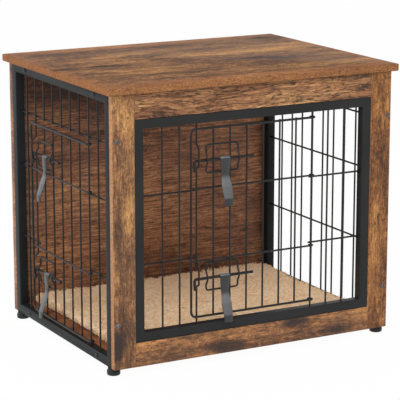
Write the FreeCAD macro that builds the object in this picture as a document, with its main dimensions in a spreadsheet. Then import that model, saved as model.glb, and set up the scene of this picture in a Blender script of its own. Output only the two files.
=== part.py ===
"""Dog crate end table: board top, front and back, steel side frames, wire grilles and two wire doors.

Millimetres, +Z up.  The origin is on the floor, under the middle of the table.
The front faces -Y.  The left wall is a copy of the front's way of building, turned a quarter turn,
so wall pieces are described as if the wall faced -Y: "along" is +X there and "outward" is -Y.
"""
import FreeCAD, Part

import math
import os

Vector = FreeCAD.Vector

doc = FreeCAD.newDocument("crate_table")
sheet = doc.addObject("Spreadsheet::Sheet", "dims")

DIMENSIONS = (
    # table top and body
    ("top_width", 690.0),
    ("top_depth", 540.0),
    ("top_thickness", 15.0),
    ("top_corner", 5.0),
    ("overall_height", 600.0),
    ("side_overhang", 13.0),
    ("end_overhang", 11.0),
    ("board_thickness", 15.0),
    ("board_chamfer", 0.6),
    ("stile_width", 50.0),
    ("head_rail_height", 53.0),
    ("sill_rail_height", 51.0),
    ("floor_thickness", 15.0),
    # steel tube frames
    ("tube_size", 20.0),
    ("tube_wall", 1.2),
    ("tube_corner", 2.0),
    ("front_frame_recess", 1.0),
    ("seat_gap", 0.3),
    # feet
    ("foot_height", 16.0),
    ("foot_diameter", 28.0),
    ("foot_bevel", 3.0),
    ("stem_diameter", 8.0),
    ("stem_length", 22.0),
    ("insert_length", 24.0),
    # screws
    ("screw_diameter", 5.0),
    ("screw_clearance", 0.2),
    ("screw_head_diameter", 9.5),
    ("screw_head_height", 2.4),
    ("screw_socket", 3.0),
    ("screw_level", 110.0),
    ("screw_grip", 12.0),
    ("rail_screw_offset", 174.0),
    ("bracket_leg", 20.0),
    ("bracket_width", 22.0),
    ("bracket_thickness", 2.0),
    # wires
    ("wire_diameter", 4.0),
    ("rim_diameter", 5.0),
    ("grille_depth", 7.0),
    ("front_wire_margin", 44.45),
    # cross wires, from the top and the bottom of their window
    ("front_cross_inset", 140.7),
    ("side_cross_top_drop", 86.0),
    ("side_cross_upper_drop", 205.0),
    ("side_cross_lower_rise", 161.0),
    # doors, from the same levels
    ("door_overlap", 15.0),
    ("door_corner", 12.0),
    ("hinge_clearance", 0.05),
    ("hinge_wrap", 200.0),
    ("front_door_drop", 11.7),
    ("front_door_rise", 15.7),
    ("side_door_drop", 100.0),
    ("side_door_rise", 9.0),
    ("door_cross_upper_rise", 4.6),
    ("door_cross_lower_drop", 5.5),
    # bolts, counted from the catch wire and from the bolt's own axis
    ("bolt_diameter", 6.0),
    ("bolt_gap", 0.3),
    ("bolt_reach", 131.0),
    ("hook_offset", 7.75),
    ("hook_length", 23.0),
    ("hook_lean", 1.5),
    ("hook_bend", 5.0),
    ("front_bolt_drop", 78.2),
    ("front_bolt_rise", 96.7),
    ("side_bolt_drop", 164.5),
    ("side_bolt_rise", 104.0),
    ("catch_rise", 34.0),
    ("catch_drop", 17.0),
    ("catch_slope", 6.0),
    ("guide_offset", 58.0),
    ("guide_width", 75.0),
    ("guide_rise", 32.0),
    ("guide_drop", 26.5),
    ("guide_corner", 8.0),
    ("guide_kink", 15.0),
    ("paddle_offset", 63.0),
    ("paddle_width", 23.0),
    ("paddle_length", 96.0),
    ("paddle_thickness", 1.6),
    ("paddle_throw", 15.0),
    # pad
    ("pad_margin", 3.0),
    ("pad_thickness", 28.0),
    ("pad_corner", 26.0),
    ("pad_pull", 5.0),
)
for row, (alias, value) in enumerate(DIMENSIONS, start=1):
    sheet.set(f"A{row}", alias)
    sheet.set(f"B{row}", str(value))
    sheet.setAlias(f"B{row}", alias)
doc.recompute()

nodes = []

# Screw holes, shanks and stems lie out of sight, so they have flats in place of true rounds.
HOLE_SIDES = 8
HEAD_SIDES = 16
CLEAR_HOLE = "dims.screw_diameter + 2 * dims.screw_clearance"


def size(alias):
    """A dimension of the sheet as a number."""
    return float(sheet.get(alias))


def number(expression):
    """What an expression on the sheet comes to."""
    result = sheet.evalExpression(expression)
    return float(getattr(result, "Value", result))


def bind(item, **expressions):
    """Ties properties of a document object to expressions on the sheet."""
    for name, expression in expressions.items():
        item.setExpression(name, expression)


def place(item, x, y, z, turn=0.0, axis=Vector(0, 0, 1)):
    """Puts an object at an expression for each coordinate, turned about one axis."""
    item.Placement = FreeCAD.Placement(Vector(0, 0, 0), FreeCAD.Rotation(axis, turn))
    for letter, expression in zip("xyz", (x, y, z)):
        item.setExpression("Placement.Base." + letter, expression)


def across_flats(diameter, sides):
    """The circumradius of a prism whose flats lie at a diameter, as an expression."""
    return f"({diameter}) / 2 / cos(180 deg / {sides})"


def node(item, label):
    """Marks a document object as a sub-part, under the name of its file."""
    item.Label = label
    nodes.append(item)
    return item


def edges_along(shape, direction, where=None):
    """Names of the straight edges of a shape that run along a direction."""
    names = []
    for index, edge in enumerate(shape.Edges, start=1):
        run = edge.Vertexes[-1].Point - edge.Vertexes[0].Point
        if run.Length > 1e-6 and run.normalize().cross(direction).Length < 1e-6:
            if where is None or where(edge.CenterOfMass):
                names.append(f"Edge{index}")
    return names


# ---------------------------------------------------------------- boards


def board(label, length, width, height, corner, holes=()):
    """A board with chamfered edges; holes are (x, y, z, axis, diameter, depth) from its corner."""
    body = doc.addObject("PartDesign::Body", label)
    slab = body.newObject("PartDesign::AdditiveBox", label + "_slab")
    bind(slab, Length=length, Width=width, Height=height)
    doc.recompute()
    edges = body.newObject("PartDesign::Chamfer", label + "_edges")
    edges.Base = (slab, [f"Edge{n}" for n in range(1, len(slab.Shape.Edges) + 1)])
    bind(edges, Size="dims.board_chamfer")
    body.Tip = edges
    for number, (x, y, z, axis, diameter, depth) in enumerate(holes, start=1):
        hole = body.newObject("PartDesign::SubtractivePrism", f"{label}_hole_{number}")
        hole.Polygon = HOLE_SIDES
        bind(hole, Circumradius=across_flats(diameter, HOLE_SIDES), Height=depth)
        turn = FreeCAD.Rotation(Vector(0, 0, 1), axis)
        hole.Placement = FreeCAD.Placement(Vector(0, 0, 0), turn)
        for letter, expression in zip("xyz", (x, y, z)):
            hole.setExpression("Placement.Base." + letter, expression)
        body.Tip = hole
    place(body, *corner)
    return node(body, label)


BODY_WIDTH = "(dims.top_width - 2 * dims.side_overhang)"
BODY_DEPTH = "(dims.top_depth - 2 * dims.end_overhang)"
BODY_TOP = "dims.overall_height - dims.top_thickness"
BODY_HEIGHT = "(dims.overall_height - dims.top_thickness - dims.foot_height)"
SCREW_LEVELS = ("dims.screw_level", "dims.overall_height - dims.screw_level")


def build_boards():
    """The top, the four front boards, the back panel and the floor panel."""
    top = doc.addObject("PartDesign::Body", "table_top")
    slab = top.newObject("PartDesign::AdditiveBox", "table_top_slab")
    bind(slab, Length="dims.top_width", Width="dims.top_depth", Height="dims.top_thickness")
    doc.recompute()
    corners = top.newObject("PartDesign::Fillet", "table_top_corners")
    corners.Base = (slab, edges_along(slab.Shape, Vector(0, 0, 1)))
    bind(corners, Radius="dims.top_corner")
    doc.recompute()
    rims = []
    for index, edge in enumerate(corners.Shape.Edges, start=1):
        if abs(edge.BoundBox.ZMax - edge.BoundBox.ZMin) < 1e-6:
            rims.append(f"Edge{index}")
    rim = top.newObject("PartDesign::Chamfer", "table_top_rim")
    rim.Base = (corners, rims)
    bind(rim, Size="dims.board_chamfer")
    top.Tip = rim
    place(top, "-dims.top_width / 2", "-dims.top_depth / 2", BODY_TOP)
    node(top, "table_top")

    post_centre = "dims.tube_size / 2"
    for side in ("left", "right"):
        hole_x = post_centre if side == "left" else "dims.stile_width - dims.tube_size / 2"
        corner_x = f"-{BODY_WIDTH} / 2" if side == "left" else f"{BODY_WIDTH} / 2 - dims.stile_width"
        holes = []
        for level in SCREW_LEVELS:
            holes.append((hole_x, "-1", f"{level} - dims.foot_height", Vector(0, 1, 0),
                          "dims.screw_diameter", "dims.board_thickness + 2"))
        board(f"{side}_stile", "dims.stile_width", "dims.board_thickness", BODY_HEIGHT,
              (corner_x, f"-{BODY_DEPTH} / 2", "dims.foot_height"), holes)

    rail_length = f"{BODY_WIDTH} - 2 * dims.stile_width"
    rail_x = f"-{BODY_WIDTH} / 2 + dims.stile_width"
    board("front_top_rail", rail_length, "dims.board_thickness", "dims.head_rail_height",
          (rail_x, f"-{BODY_DEPTH} / 2", f"{BODY_TOP} - dims.head_rail_height"))
    board("front_bottom_rail", rail_length, "dims.board_thickness", "dims.sill_rail_height",
          (rail_x, f"-{BODY_DEPTH} / 2", "dims.foot_height"))

    holes = []
    for level in SCREW_LEVELS:
        for hole_x in (post_centre, f"{BODY_WIDTH} - dims.tube_size / 2"):
            holes.append((hole_x, "-1", f"{level} - dims.foot_height", Vector(0, 1, 0),
                          "dims.screw_diameter", "dims.board_thickness + 2"))
    board("back_panel", BODY_WIDTH, "dims.board_thickness", BODY_HEIGHT,
          (f"-{BODY_WIDTH} / 2", f"{BODY_DEPTH} / 2 - dims.board_thickness", "dims.foot_height"),
          holes)

    length = f"{BODY_WIDTH} - 2 * dims.tube_size - 2 * dims.seat_gap"
    width = f"{BODY_DEPTH} - 2 * dims.board_thickness - 2 * dims.seat_gap"
    screw_z = "dims.floor_thickness - dims.tube_size / 2"
    holes = []
    for side in (-1, 1):
        hole_y = f"({width}) / 2 + {side} * dims.rail_screw_offset"
        holes.append(("-1", hole_y, screw_z, Vector(1, 0, 0), "dims.screw_diameter",
                      "dims.screw_grip + 1"))
        holes.append((f"{length} - dims.screw_grip", hole_y, screw_z, Vector(1, 0, 0),
                      "dims.screw_diameter", "dims.screw_grip + 1"))
    board("floor_panel", length, width, "dims.floor_thickness",
          (f"-({length}) / 2", f"-({width}) / 2",
           "dims.foot_height + dims.tube_size - dims.floor_thickness"), holes)


# ---------------------------------------------------------------- steel tube frames


def tube(label, length, corner, along, holes=()):
    """A square steel tube with rounded corners, hollow from end to end, running along X, Y or Z.

    A hole is (distance along the tube, axis, start, depth), with its start and depth along that axis.
    """
    body = doc.addObject("PartDesign::Body", label)
    sizes = dict.fromkeys(("Length", "Width", "Height"), "dims.tube_size")
    bores = dict.fromkeys(("Length", "Width", "Height"), "dims.tube_size - 2 * dims.tube_wall")
    key = {"x": "Length", "y": "Width", "z": "Height"}[along]
    sizes[key] = length
    bores[key] = f"{length} + 2"
    bar = body.newObject("PartDesign::AdditiveBox", label + "_bar")
    bind(bar, **sizes)
    doc.recompute()
    direction = {"x": Vector(1, 0, 0), "y": Vector(0, 1, 0), "z": Vector(0, 0, 1)}[along]
    rounds = body.newObject("PartDesign::Fillet", label + "_rounds")
    rounds.Base = (bar, edges_along(bar.Shape, direction))
    bind(rounds, Radius="dims.tube_corner")
    doc.recompute()
    bore = body.newObject("PartDesign::SubtractiveBox", label + "_bore")
    bind(bore, **bores)
    for letter in "xyz":
        inset = "-1" if letter == along else "dims.tube_wall"
        bore.setExpression("Placement.Base." + letter, inset)
    body.Tip = bore
    for number, (distance, side, begin, depth) in enumerate(holes, start=1):
        hole = body.newObject("PartDesign::SubtractivePrism", f"{label}_hole_{number}")
        hole.Polygon = HOLE_SIDES
        bind(hole, Circumradius=across_flats(CLEAR_HOLE, HOLE_SIDES), Height=depth)
        turn = FreeCAD.Rotation(Vector(0, 0, 1), {"x": Vector(1, 0, 0), "y": Vector(0, 1, 0)}[side])
        hole.Placement = FreeCAD.Placement(Vector(0, 0, 0), turn)
        spots = {letter: "dims.tube_size / 2" for letter in "xyz"}
        spots[side] = begin
        spots[along] = distance
        for letter in "xyz":
            hole.setExpression("Placement.Base." + letter, spots[letter])
        body.Tip = hole
    place(body, *corner)
    return node(body, label)


def build_frames():
    """The two side frames and the front frame that is let into the boards."""
    inner_depth = f"{BODY_DEPTH} / 2 - dims.board_thickness"
    levels = [f"{level} - dims.foot_height" for level in SCREW_LEVELS]
    for side in ("left", "right"):
        x = f"-{BODY_WIDTH} / 2" if side == "left" else f"{BODY_WIDTH} / 2 - dims.tube_size"
        for end, y, begin in (("front", f"-({inner_depth})", "-1"),
                              ("back", f"{inner_depth} - dims.tube_size", "dims.tube_size / 2")):
            tube(f"{side}_{end}_post", BODY_HEIGHT, (x, y, "dims.foot_height"), "z",
                 [(level, "y", begin, "dims.tube_size / 2 + 1") for level in levels])
        length = f"2 * ({inner_depth}) - 2 * dims.tube_size"
        start = f"-({inner_depth}) + dims.tube_size"
        spots = [(f"({length}) / 2 + {sign} * dims.rail_screw_offset", "x", "-1", "dims.tube_size + 2")
                 for sign in (-1, 1)]
        tube(f"{side}_bottom_rail", length, (x, start, "dims.foot_height"), "y", spots)
        tube(f"{side}_top_rail", length, (x, start, f"{BODY_TOP} - dims.tube_size"), "y", spots)

    y = f"-{BODY_DEPTH} / 2 + dims.front_frame_recess"
    half = f"{BODY_WIDTH} / 2 - dims.stile_width - dims.seat_gap"
    low = "dims.foot_height + dims.sill_rail_height + dims.seat_gap"
    high = f"{BODY_TOP} - dims.head_rail_height - dims.seat_gap"
    height = f"({high}) - ({low})"
    tube("front_frame_left_post", height, (f"-({half})", y, low), "z")
    tube("front_frame_right_post", height, (f"{half} - dims.tube_size", y, low), "z")
    length = f"2 * ({half}) - 2 * dims.tube_size"
    start = f"-({half}) + dims.tube_size"
    tube("front_frame_bottom_rail", length, (start, y, low), "x")
    tube("front_frame_top_rail", length, (start, y, f"{high} - dims.tube_size"), "x")


# ---------------------------------------------------------------- feet and fasteners


def build_feet():
    """Levelling feet: a pad turned to shape with a stem, and the square insert that takes the stem."""
    spot_x = f"{BODY_WIDTH} / 2 - dims.tube_size / 2"
    spot_y = f"{BODY_DEPTH} / 2 - dims.board_thickness - dims.tube_size / 2"
    for depth, sign_y in (("front", "-1"), ("back", "1")):
        for side, sign_x in (("left", "-1"), ("right", "1")):
            label = f"{depth}_{side}_foot"
            body = doc.addObject("PartDesign::Body", label)
            pad = body.newObject("PartDesign::AdditiveCylinder", label + "_pad")
            bind(pad, Radius="dims.foot_diameter / 2", Height="dims.foot_height")
            doc.recompute()
            sole = [f"Edge{number}" for number, edge in enumerate(pad.Shape.Edges, start=1)
                    if edge.BoundBox.ZMax < 1e-6]
            bevel = body.newObject("PartDesign::Chamfer", label + "_bevel")
            bevel.Base = (pad, sole)
            bind(bevel, Size="dims.foot_bevel")
            stem = body.newObject("PartDesign::AdditivePrism", label + "_stem")
            stem.Polygon = HOLE_SIDES
            bind(stem, Circumradius="dims.stem_diameter / 2", Height="dims.foot_height + dims.stem_length")
            body.Tip = stem
            place(body, f"{sign_x} * ({spot_x})", f"{sign_y} * ({spot_y})", "0")
            node(body, label)

    inserts = []
    for sign_x in ("-1", "1"):
        for sign_y in ("-1", "1"):
            block = doc.addObject("Part::Box", "insert_block")
            side = "(dims.tube_size - 2 * dims.tube_wall)"
            bind(block, Length=side, Width=side, Height="dims.insert_length")
            place(block, f"{sign_x} * ({spot_x}) - {side} / 2", f"{sign_y} * ({spot_y}) - {side} / 2",
                  "dims.foot_height")
            bore = doc.addObject("Part::Prism", "insert_bore")
            bore.Polygon = HOLE_SIDES
            bind(bore, Circumradius=across_flats("dims.stem_diameter", HOLE_SIDES),
                 Height="dims.insert_length")
            place(bore, f"{sign_x} * ({spot_x})", f"{sign_y} * ({spot_y})", "dims.foot_height")
            insert = doc.addObject("Part::Cut", "insert")
            insert.Base = block
            insert.Tool = bore
            inserts.append(insert)
    group = doc.addObject("Part::Compound", "foot_inserts")
    group.Links = inserts
    node(group, "foot_inserts")


def screw(length, base, direction):
    """A screw with a low round head and a hexagon socket; base is under its head."""
    shank = doc.addObject("Part::Prism", "screw_shank")
    shank.Polygon = HOLE_SIDES
    bind(shank, Circumradius="dims.screw_diameter / 2", Height=length)
    head = doc.addObject("Part::Prism", "screw_head")
    head.Polygon = HEAD_SIDES
    bind(head, Circumradius="dims.screw_head_diameter / 2", Height="dims.screw_head_height")
    place(head, "0", "0", "-dims.screw_head_height")
    blank = doc.addObject("Part::Fuse", "screw_blank")
    blank.Base = head
    blank.Tool = shank
    socket = doc.addObject("Part::Prism", "screw_socket")
    socket.Polygon = 6
    bind(socket, Circumradius=across_flats("dims.screw_socket", 6), Height="dims.screw_head_height")
    place(socket, "0", "0", "-1.3 * dims.screw_head_height")
    finished = doc.addObject("Part::Cut", "screw")
    finished.Base = blank
    finished.Tool = socket
    finished.Placement = FreeCAD.Placement(Vector(0, 0, 0), FreeCAD.Rotation(Vector(0, 0, 1), direction))
    for letter, expression in zip("xyz", base):
        finished.setExpression("Placement.Base." + letter, expression)
    return finished


def group_node(label, members):
    group = doc.addObject("Part::Compound", label)
    group.Links = members
    return node(group, label)


def build_fasteners():
    """Screws through the stiles, the back panel and the side rails, and the brackets under the top."""
    post_x = f"({BODY_WIDTH} / 2 - dims.tube_size / 2)"
    through = "dims.board_thickness + dims.tube_size / 2"
    for label, sign_y, direction in (("stile_screws", "-1", Vector(0, 1, 0)),
                                     ("back_panel_screws", "1", Vector(0, -1, 0))):
        group_node(label, [screw(through, (f"{sign_x} * {post_x}", f"{sign_y} * {BODY_DEPTH} / 2",
                                           level), direction)
                           for sign_x in ("-1", "1") for level in SCREW_LEVELS])

    bottom_z = "dims.foot_height + dims.tube_size / 2"
    top_z = f"{BODY_TOP} - dims.tube_size / 2"
    for side, sign in (("left", "-1"), ("right", "1")):
        direction = Vector(-float(sign), 0, 0)
        members = []
        for level, length in (
                (bottom_z, "dims.tube_size + dims.seat_gap + dims.screw_grip"),
                (top_z, "dims.tube_size + dims.bracket_thickness + 3")):
            for spot in ("-dims.rail_screw_offset", "dims.rail_screw_offset"):
                members.append(screw(length, (f"{sign} * {BODY_WIDTH} / 2", spot, level), direction))
        group_node(f"{side}_rail_screws", members)

    brackets = []
    for sign in (-1, 1):
        for spot in ("-dims.rail_screw_offset", "dims.rail_screw_offset"):
            inner = f"{sign} * ({BODY_WIDTH} / 2 - dims.tube_size)"
            legs = []
            for name, wide, tall in (("upright_leg", "dims.bracket_thickness", "dims.bracket_leg"),
                                     ("flat_leg", "dims.bracket_leg", "dims.bracket_thickness")):
                leg = doc.addObject("Part::Box", name)
                bind(leg, Length=wide, Width="dims.bracket_width", Height=tall)
                start = inner if sign < 0 else f"{inner} - {wide}"
                place(leg, start, f"{spot} - dims.bracket_width / 2", f"{BODY_TOP} - {tall}")
                legs.append(leg)
            angle = doc.addObject("Part::Fuse", "angle")
            angle.Base, angle.Tool = legs
            hole = doc.addObject("Part::Prism", "angle_hole")
            hole.Polygon = HOLE_SIDES
            bind(hole, Circumradius=across_flats(CLEAR_HOLE, HOLE_SIDES), Height="dims.bracket_thickness + 2")
            start = f"{inner} - 1" if sign < 0 else f"{inner} - dims.bracket_thickness - 1"
            place(hole, start, spot, top_z, 90, Vector(0, 1, 0))
            bracket = doc.addObject("Part::Cut", "top_bracket")
            bracket.Base = angle
            bracket.Tool = hole
            brackets.append(bracket)
    group_node("top_brackets", brackets)


# ---------------------------------------------------------------- wire work


# A wall's window runs from low to high and inner to either side; its uprights are a pitch apart.
# The catch and hinge wires stand edge pitches from the middle, with more uprights outside them.
FRONT_INNER = f"({BODY_WIDTH} / 2 - dims.stile_width - dims.seat_gap - dims.tube_size)"
FRONT_LOW = "(dims.foot_height + dims.sill_rail_height + dims.seat_gap + dims.tube_size)"
FRONT_HIGH = f"({BODY_TOP} - dims.head_rail_height - dims.seat_gap - dims.tube_size)"
FRONT = {
    "name": "front", "face": f"{BODY_DEPTH} / 2", "turn": 0.0,
    "inner": FRONT_INNER, "low": FRONT_LOW, "high": FRONT_HIGH,
    "pitch": f"(2 * ({FRONT_INNER} - dims.front_wire_margin) / 11)", "edge": 3.5, "outer": 2,
    "crosses": (f"({FRONT_LOW} + dims.front_cross_inset)", f"({FRONT_HIGH} - dims.front_cross_inset)"),
    "door": (f"({FRONT_LOW} + dims.front_door_rise)", f"({FRONT_HIGH} - dims.front_door_drop)"),
    "bolts": (f"({FRONT_LOW} + dims.front_bolt_rise)", f"({FRONT_HIGH} - dims.front_bolt_drop)"),
}
SIDE_INNER = f"({BODY_DEPTH} / 2 - dims.board_thickness - dims.tube_size)"
SIDE_LOW = "(dims.foot_height + dims.tube_size)"
SIDE_HIGH = f"({BODY_TOP} - dims.tube_size)"
LEFT = {
    "name": "side", "face": f"{BODY_WIDTH} / 2", "turn": -90.0,
    "inner": SIDE_INNER, "low": SIDE_LOW, "high": SIDE_HIGH,
    "pitch": f"(2 * {SIDE_INNER} / 10)", "edge": 3, "outer": 1,
    "crosses": (f"({SIDE_LOW} + dims.side_cross_lower_rise)", f"({SIDE_HIGH} - dims.side_cross_upper_drop)",
                f"({SIDE_HIGH} - dims.side_cross_top_drop)"),
    "door": (f"({SIDE_LOW} + dims.side_door_rise)", f"({SIDE_HIGH} - dims.side_door_drop)"),
    "bolts": (f"({SIDE_LOW} + dims.side_bolt_rise)", f"({SIDE_HIGH} - dims.side_bolt_drop)"),
}
RIGHT = dict(LEFT, turn=90.0)

# Thin wires have flats, so that crossed wires lie face to face and the cage stays light.
WIRE_SIDES = 8
BOLT_SIDES = 16
# Chords for each bend of a wire.
BEND_CHORDS = 2


def straight_wire(along, start, length, across, level):
    """A wire with WIRE_SIDES flats; start and across are its axis in the wall's own directions."""
    wire = doc.addObject("Part::Prism", "wire")
    wire.Polygon = WIRE_SIDES
    bind(wire, Circumradius=across_flats("dims.wire_diameter", WIRE_SIDES), Height=length)
    place(wire, start, across, level)
    flats = FreeCAD.Rotation(Vector(0, 0, 1), 180 / WIRE_SIDES)
    lying = FreeCAD.Rotation(Vector(0, 1, 0), 90) if along == "x" else FreeCAD.Rotation()
    wire.Placement.Rotation = lying.multiply(flats)
    return wire


def round_wire(start, length, across, level):
    """The upright that a door turns on: a true cylinder."""
    wire = doc.addObject("Part::Cylinder", "hinge_wire")
    bind(wire, Radius="dims.wire_diameter / 2", Height=length)
    place(wire, start, across, level)
    return wire


def plane_of(wall):
    """How far outward the uprights of a wall stand, as an expression."""
    return f"(dims.grille_depth - {wall['face']})"


def uprights(wall, steps, low):
    """Straight uprights at some pitches from the wall's middle, from a level to the window's top."""
    return [straight_wire("z", f"{step} * {wall['pitch']}", f"{wall['high']} - {low}", plane_of(wall), low)
            for step in steps]


def outer_steps(wall):
    return [wall["edge"] + count for count in range(1, wall["outer"] + 1)]


def door_steps(wall):
    return [step - wall["edge"] for step in range(1, int(2 * wall["edge"]))]


def cross_stubs(wall, side):
    """Cross wires behind the uprights, from the frame to just past the wire at the door's edge."""
    length = f"({wall['inner']} - {wall['edge']} * {wall['pitch']} + dims.wire_diameter)"
    start = f"-{wall['inner']}" if side < 0 else f"{wall['inner']} - {length}"
    behind = f"{plane_of(wall)} + dims.wire_diameter"
    return [straight_wire("x", start, length, behind, level) for level in wall["crosses"]]


def wall_node(label, members, wall):
    """A sub-part of a wall: its members together, turned to the wall's side of the table."""
    group = group_node(label, members)
    group.Placement = FreeCAD.Placement(Vector(0, 0, 0), FreeCAD.Rotation(Vector(0, 0, 1), wall["turn"]))
    return group


def bent_path(points, radii):
    """The points of a bent wire: an inner point with a radius gives way to chords of its arc."""
    path = [points[0]]
    for before, corner, after, radius in zip(points, points[1:], points[2:], radii):
        if radius <= 0:
            path.append(corner)
            continue
        into = (before - corner).normalize()
        out = (after - corner).normalize()
        half = into.getAngle(out) / 2
        start = corner + into * (radius / math.tan(half))
        centre = corner + (into + out).normalize() * (radius / math.sin(half))
        across = start - centre
        ahead = into * -radius
        sweep = math.pi - 2 * half
        for step in range(BEND_CHORDS + 1):
            angle = sweep * step / BEND_CHORDS
            path.append(centre + across * math.cos(angle) + ahead * math.sin(angle))
    path.append(points[-1])
    return path


def mitred_wire(name, points, diameter, sides, level_axis):
    """A wire with a regular outline, mitred at each bend; one pair of flats faces level_axis."""
    heading = (points[1] - points[0]).normalize()
    across = heading.cross(level_axis).normalize()
    upward = across.cross(heading).normalize()
    reach = diameter / 2 / math.cos(math.pi / sides)
    ring = []
    for corner in range(sides + 1):
        angle = math.pi * (2 * corner + 1) / sides
        ring.append(points[0] + across * (reach * math.cos(angle)) + upward * (reach * math.sin(angle)))
    path = Part.makePolygon(points)
    solid = path.makePipeShell([Part.makePolygon(ring)], True, False, 1)
    wire = doc.addObject("Part::Feature", name)
    wire.Shape = solid
    return wire


def catch_x(wall):
    return -wall["edge"] * number(wall["pitch"])


def build_catch_wire(wall):
    """The upright that the bolts pass behind: it is bent outward at each bolt's level."""
    at = catch_x(wall)
    flat = number(plane_of(wall))
    out = flat - size("bolt_diameter") - size("wire_diameter") - 2 * size("bolt_gap")
    slope = size("catch_slope")
    points = [Vector(at, flat, number(wall["low"]))]
    for level in map(number, wall["bolts"]):
        low = level - size("catch_drop")
        high = level + size("catch_rise")
        points += [Vector(at, flat, low), Vector(at, out, low + slope),
                   Vector(at, out, high - slope), Vector(at, flat, high)]
    points.append(Vector(at, flat, number(wall["high"])))
    return mitred_wire("catch_wire", points, size("wire_diameter"), WIRE_SIDES, Vector(1, 0, 0))


def hinge_loop(x, y, level, radius):
    """Corners of the loop by which a door wire curls round the hinge wire, from its outward side.

    The corners stand off so that the flats between them keep the radius.
    """
    chords = 5
    wrap = math.radians(size("hinge_wrap"))
    step = wrap / chords
    reach = radius / math.cos(step / 2)
    points = []
    for corner in range(chords):
        angle = -math.pi / 2 + step * (corner + 0.5)
        points.append(Vector(x + reach * math.cos(angle), y + reach * math.sin(angle), level))
    angle = wrap - math.pi / 2
    points.append(Vector(x + radius * math.cos(angle), y + radius * math.sin(angle), level))
    return points


def build_door(label, wall):
    """A welded wire door: the bent rim wire, two cross wires and the uprights behind them."""
    flat = number(plane_of(wall))
    hinge_x = -catch_x(wall)
    free_x = -hinge_x - size("door_overlap")
    bottom, top = map(number, wall["door"])
    members = []

    radius = (size("wire_diameter") + size("rim_diameter")) / 2 + size("hinge_clearance")
    y = flat - radius
    corners = bent_path([Vector(hinge_x, y, bottom), Vector(free_x, y, bottom), Vector(free_x, y, top),
                         Vector(hinge_x, y, top)], [size("door_corner")] * 2)
    start = hinge_loop(hinge_x, flat, bottom, radius)
    points = start[::-1] + corners[1:-1] + hinge_loop(hinge_x, flat, top, radius)
    members.append(mitred_wire("rim_wire", points, size("rim_diameter"), WIRE_SIDES, Vector(0, 0, 1)))

    radius = size("wire_diameter") + size("hinge_clearance")
    y = flat - radius
    inner = free_x + size("rim_diameter") / 2
    for level in (number(wall["crosses"][0]) - size("door_cross_lower_drop"),
                  number(wall["crosses"][1]) + size("door_cross_upper_rise")):
        points = [Vector(inner, y, level)] + hinge_loop(hinge_x, flat, level, radius)
        members.append(mitred_wire("cross_wire", points, size("wire_diameter"), WIRE_SIDES,
                                   Vector(0, 0, 1)))

    low, high = wall["door"]
    for step in door_steps(wall):
        members.append(straight_wire("z", f"{step} * {wall['pitch']}",
                                     f"{high} - {low} + dims.rim_diameter", plane_of(wall),
                                     f"{low} - dims.rim_diameter / 2"))
    return wall_node(label, members, wall)


def build_guide(label, wall, level):
    """The wire bracket of a bolt: a rounded rectangle whose sides are kinked outward round the bolt."""
    thick = size("wire_diameter")
    flat = number(plane_of(wall)) - thick
    out = flat - size("bolt_diameter") - 2 * size("bolt_gap")
    centre = catch_x(wall) + size("guide_offset")
    left = centre - size("guide_width") / 2
    right = centre + size("guide_width") / 2
    top = level + size("guide_rise")
    bottom = level - size("guide_drop")
    kink = size("guide_kink")
    flank = size("bolt_diameter") / 2
    corner = size("guide_corner")

    def side(x, up):
        order = [(flat, -kink), (out, -flank), (out, flank), (flat, kink)]
        if not up:
            order.reverse()
        return [Vector(x, y, level + z) for y, z in order]

    points = [Vector(centre, flat, bottom), Vector(right, flat, bottom)] + side(right, True)
    points += [Vector(right, flat, top), Vector(left, flat, top)] + side(left, False)
    points += [Vector(left, flat, bottom), Vector(centre, flat, bottom)]
    radii = [corner] + [0] * 4 + [corner] * 2 + [0] * 4 + [corner]
    wire = mitred_wire(label, bent_path(points, radii), thick, WIRE_SIDES, Vector(0, 1, 0))
    wire.Placement = FreeCAD.Placement(Vector(0, 0, 0), FreeCAD.Rotation(Vector(0, 0, 1), wall["turn"]))
    return node(wire, label)


def bolt_plane(wall):
    """How far outward a bolt's axis lies: its gap clear of the catch wire and of the guide's sides."""
    between = (size("wire_diameter") + size("bolt_diameter")) / 2
    return number(plane_of(wall)) - between - size("bolt_gap")


def build_bolt(label, wall, level):
    """The round bolt, with its free end bent down into a hook beside the catch wire."""
    y = bolt_plane(wall)
    hook_x = catch_x(wall) - size("hook_offset")
    points = [Vector(catch_x(wall) + size("bolt_reach"), y, level), Vector(hook_x, y, level),
              Vector(hook_x + size("hook_lean"), y, level - size("hook_length"))]
    wire = mitred_wire(label, bent_path(points, [size("hook_bend")]), size("bolt_diameter"), BOLT_SIDES,
                       Vector(0, 1, 0))
    wire.Placement = FreeCAD.Placement(Vector(0, 0, 0), FreeCAD.Rotation(Vector(0, 0, 1), wall["turn"]))
    return node(wire, label)


def paddle_outline(width, length):
    """The paddle from the front: wide at the bolt, waisted below it, then wide and narrowing again."""
    half = width / 2
    shares = ((0.0, 1.0), (0.14, 1.0), (0.34, 0.76), (0.60, 1.06), (0.90, 0.88), (1.0, 0.84))
    right = [Vector(half * share, 0, -length * down) for down, share in shares]
    left = [Vector(-point.x, 0, point.z) for point in reversed(right)]
    curves = []
    for points in (right, left):
        spline = Part.BSplineCurve()
        spline.interpolate(points)
        curves.append(spline.toShape())
    rise = Vector(0, 0, size("bolt_diameter"))
    foot = Part.LineSegment(right[-1], left[0]).toShape()
    sides = [Part.LineSegment(left[-1], left[-1] + rise).toShape(),
             Part.LineSegment(left[-1] + rise, right[0] + rise).toShape(),
             Part.LineSegment(right[0] + rise, right[0]).toShape()]
    return Part.Face(Part.Wire([curves[0], foot, curves[1]] + sides))


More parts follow.
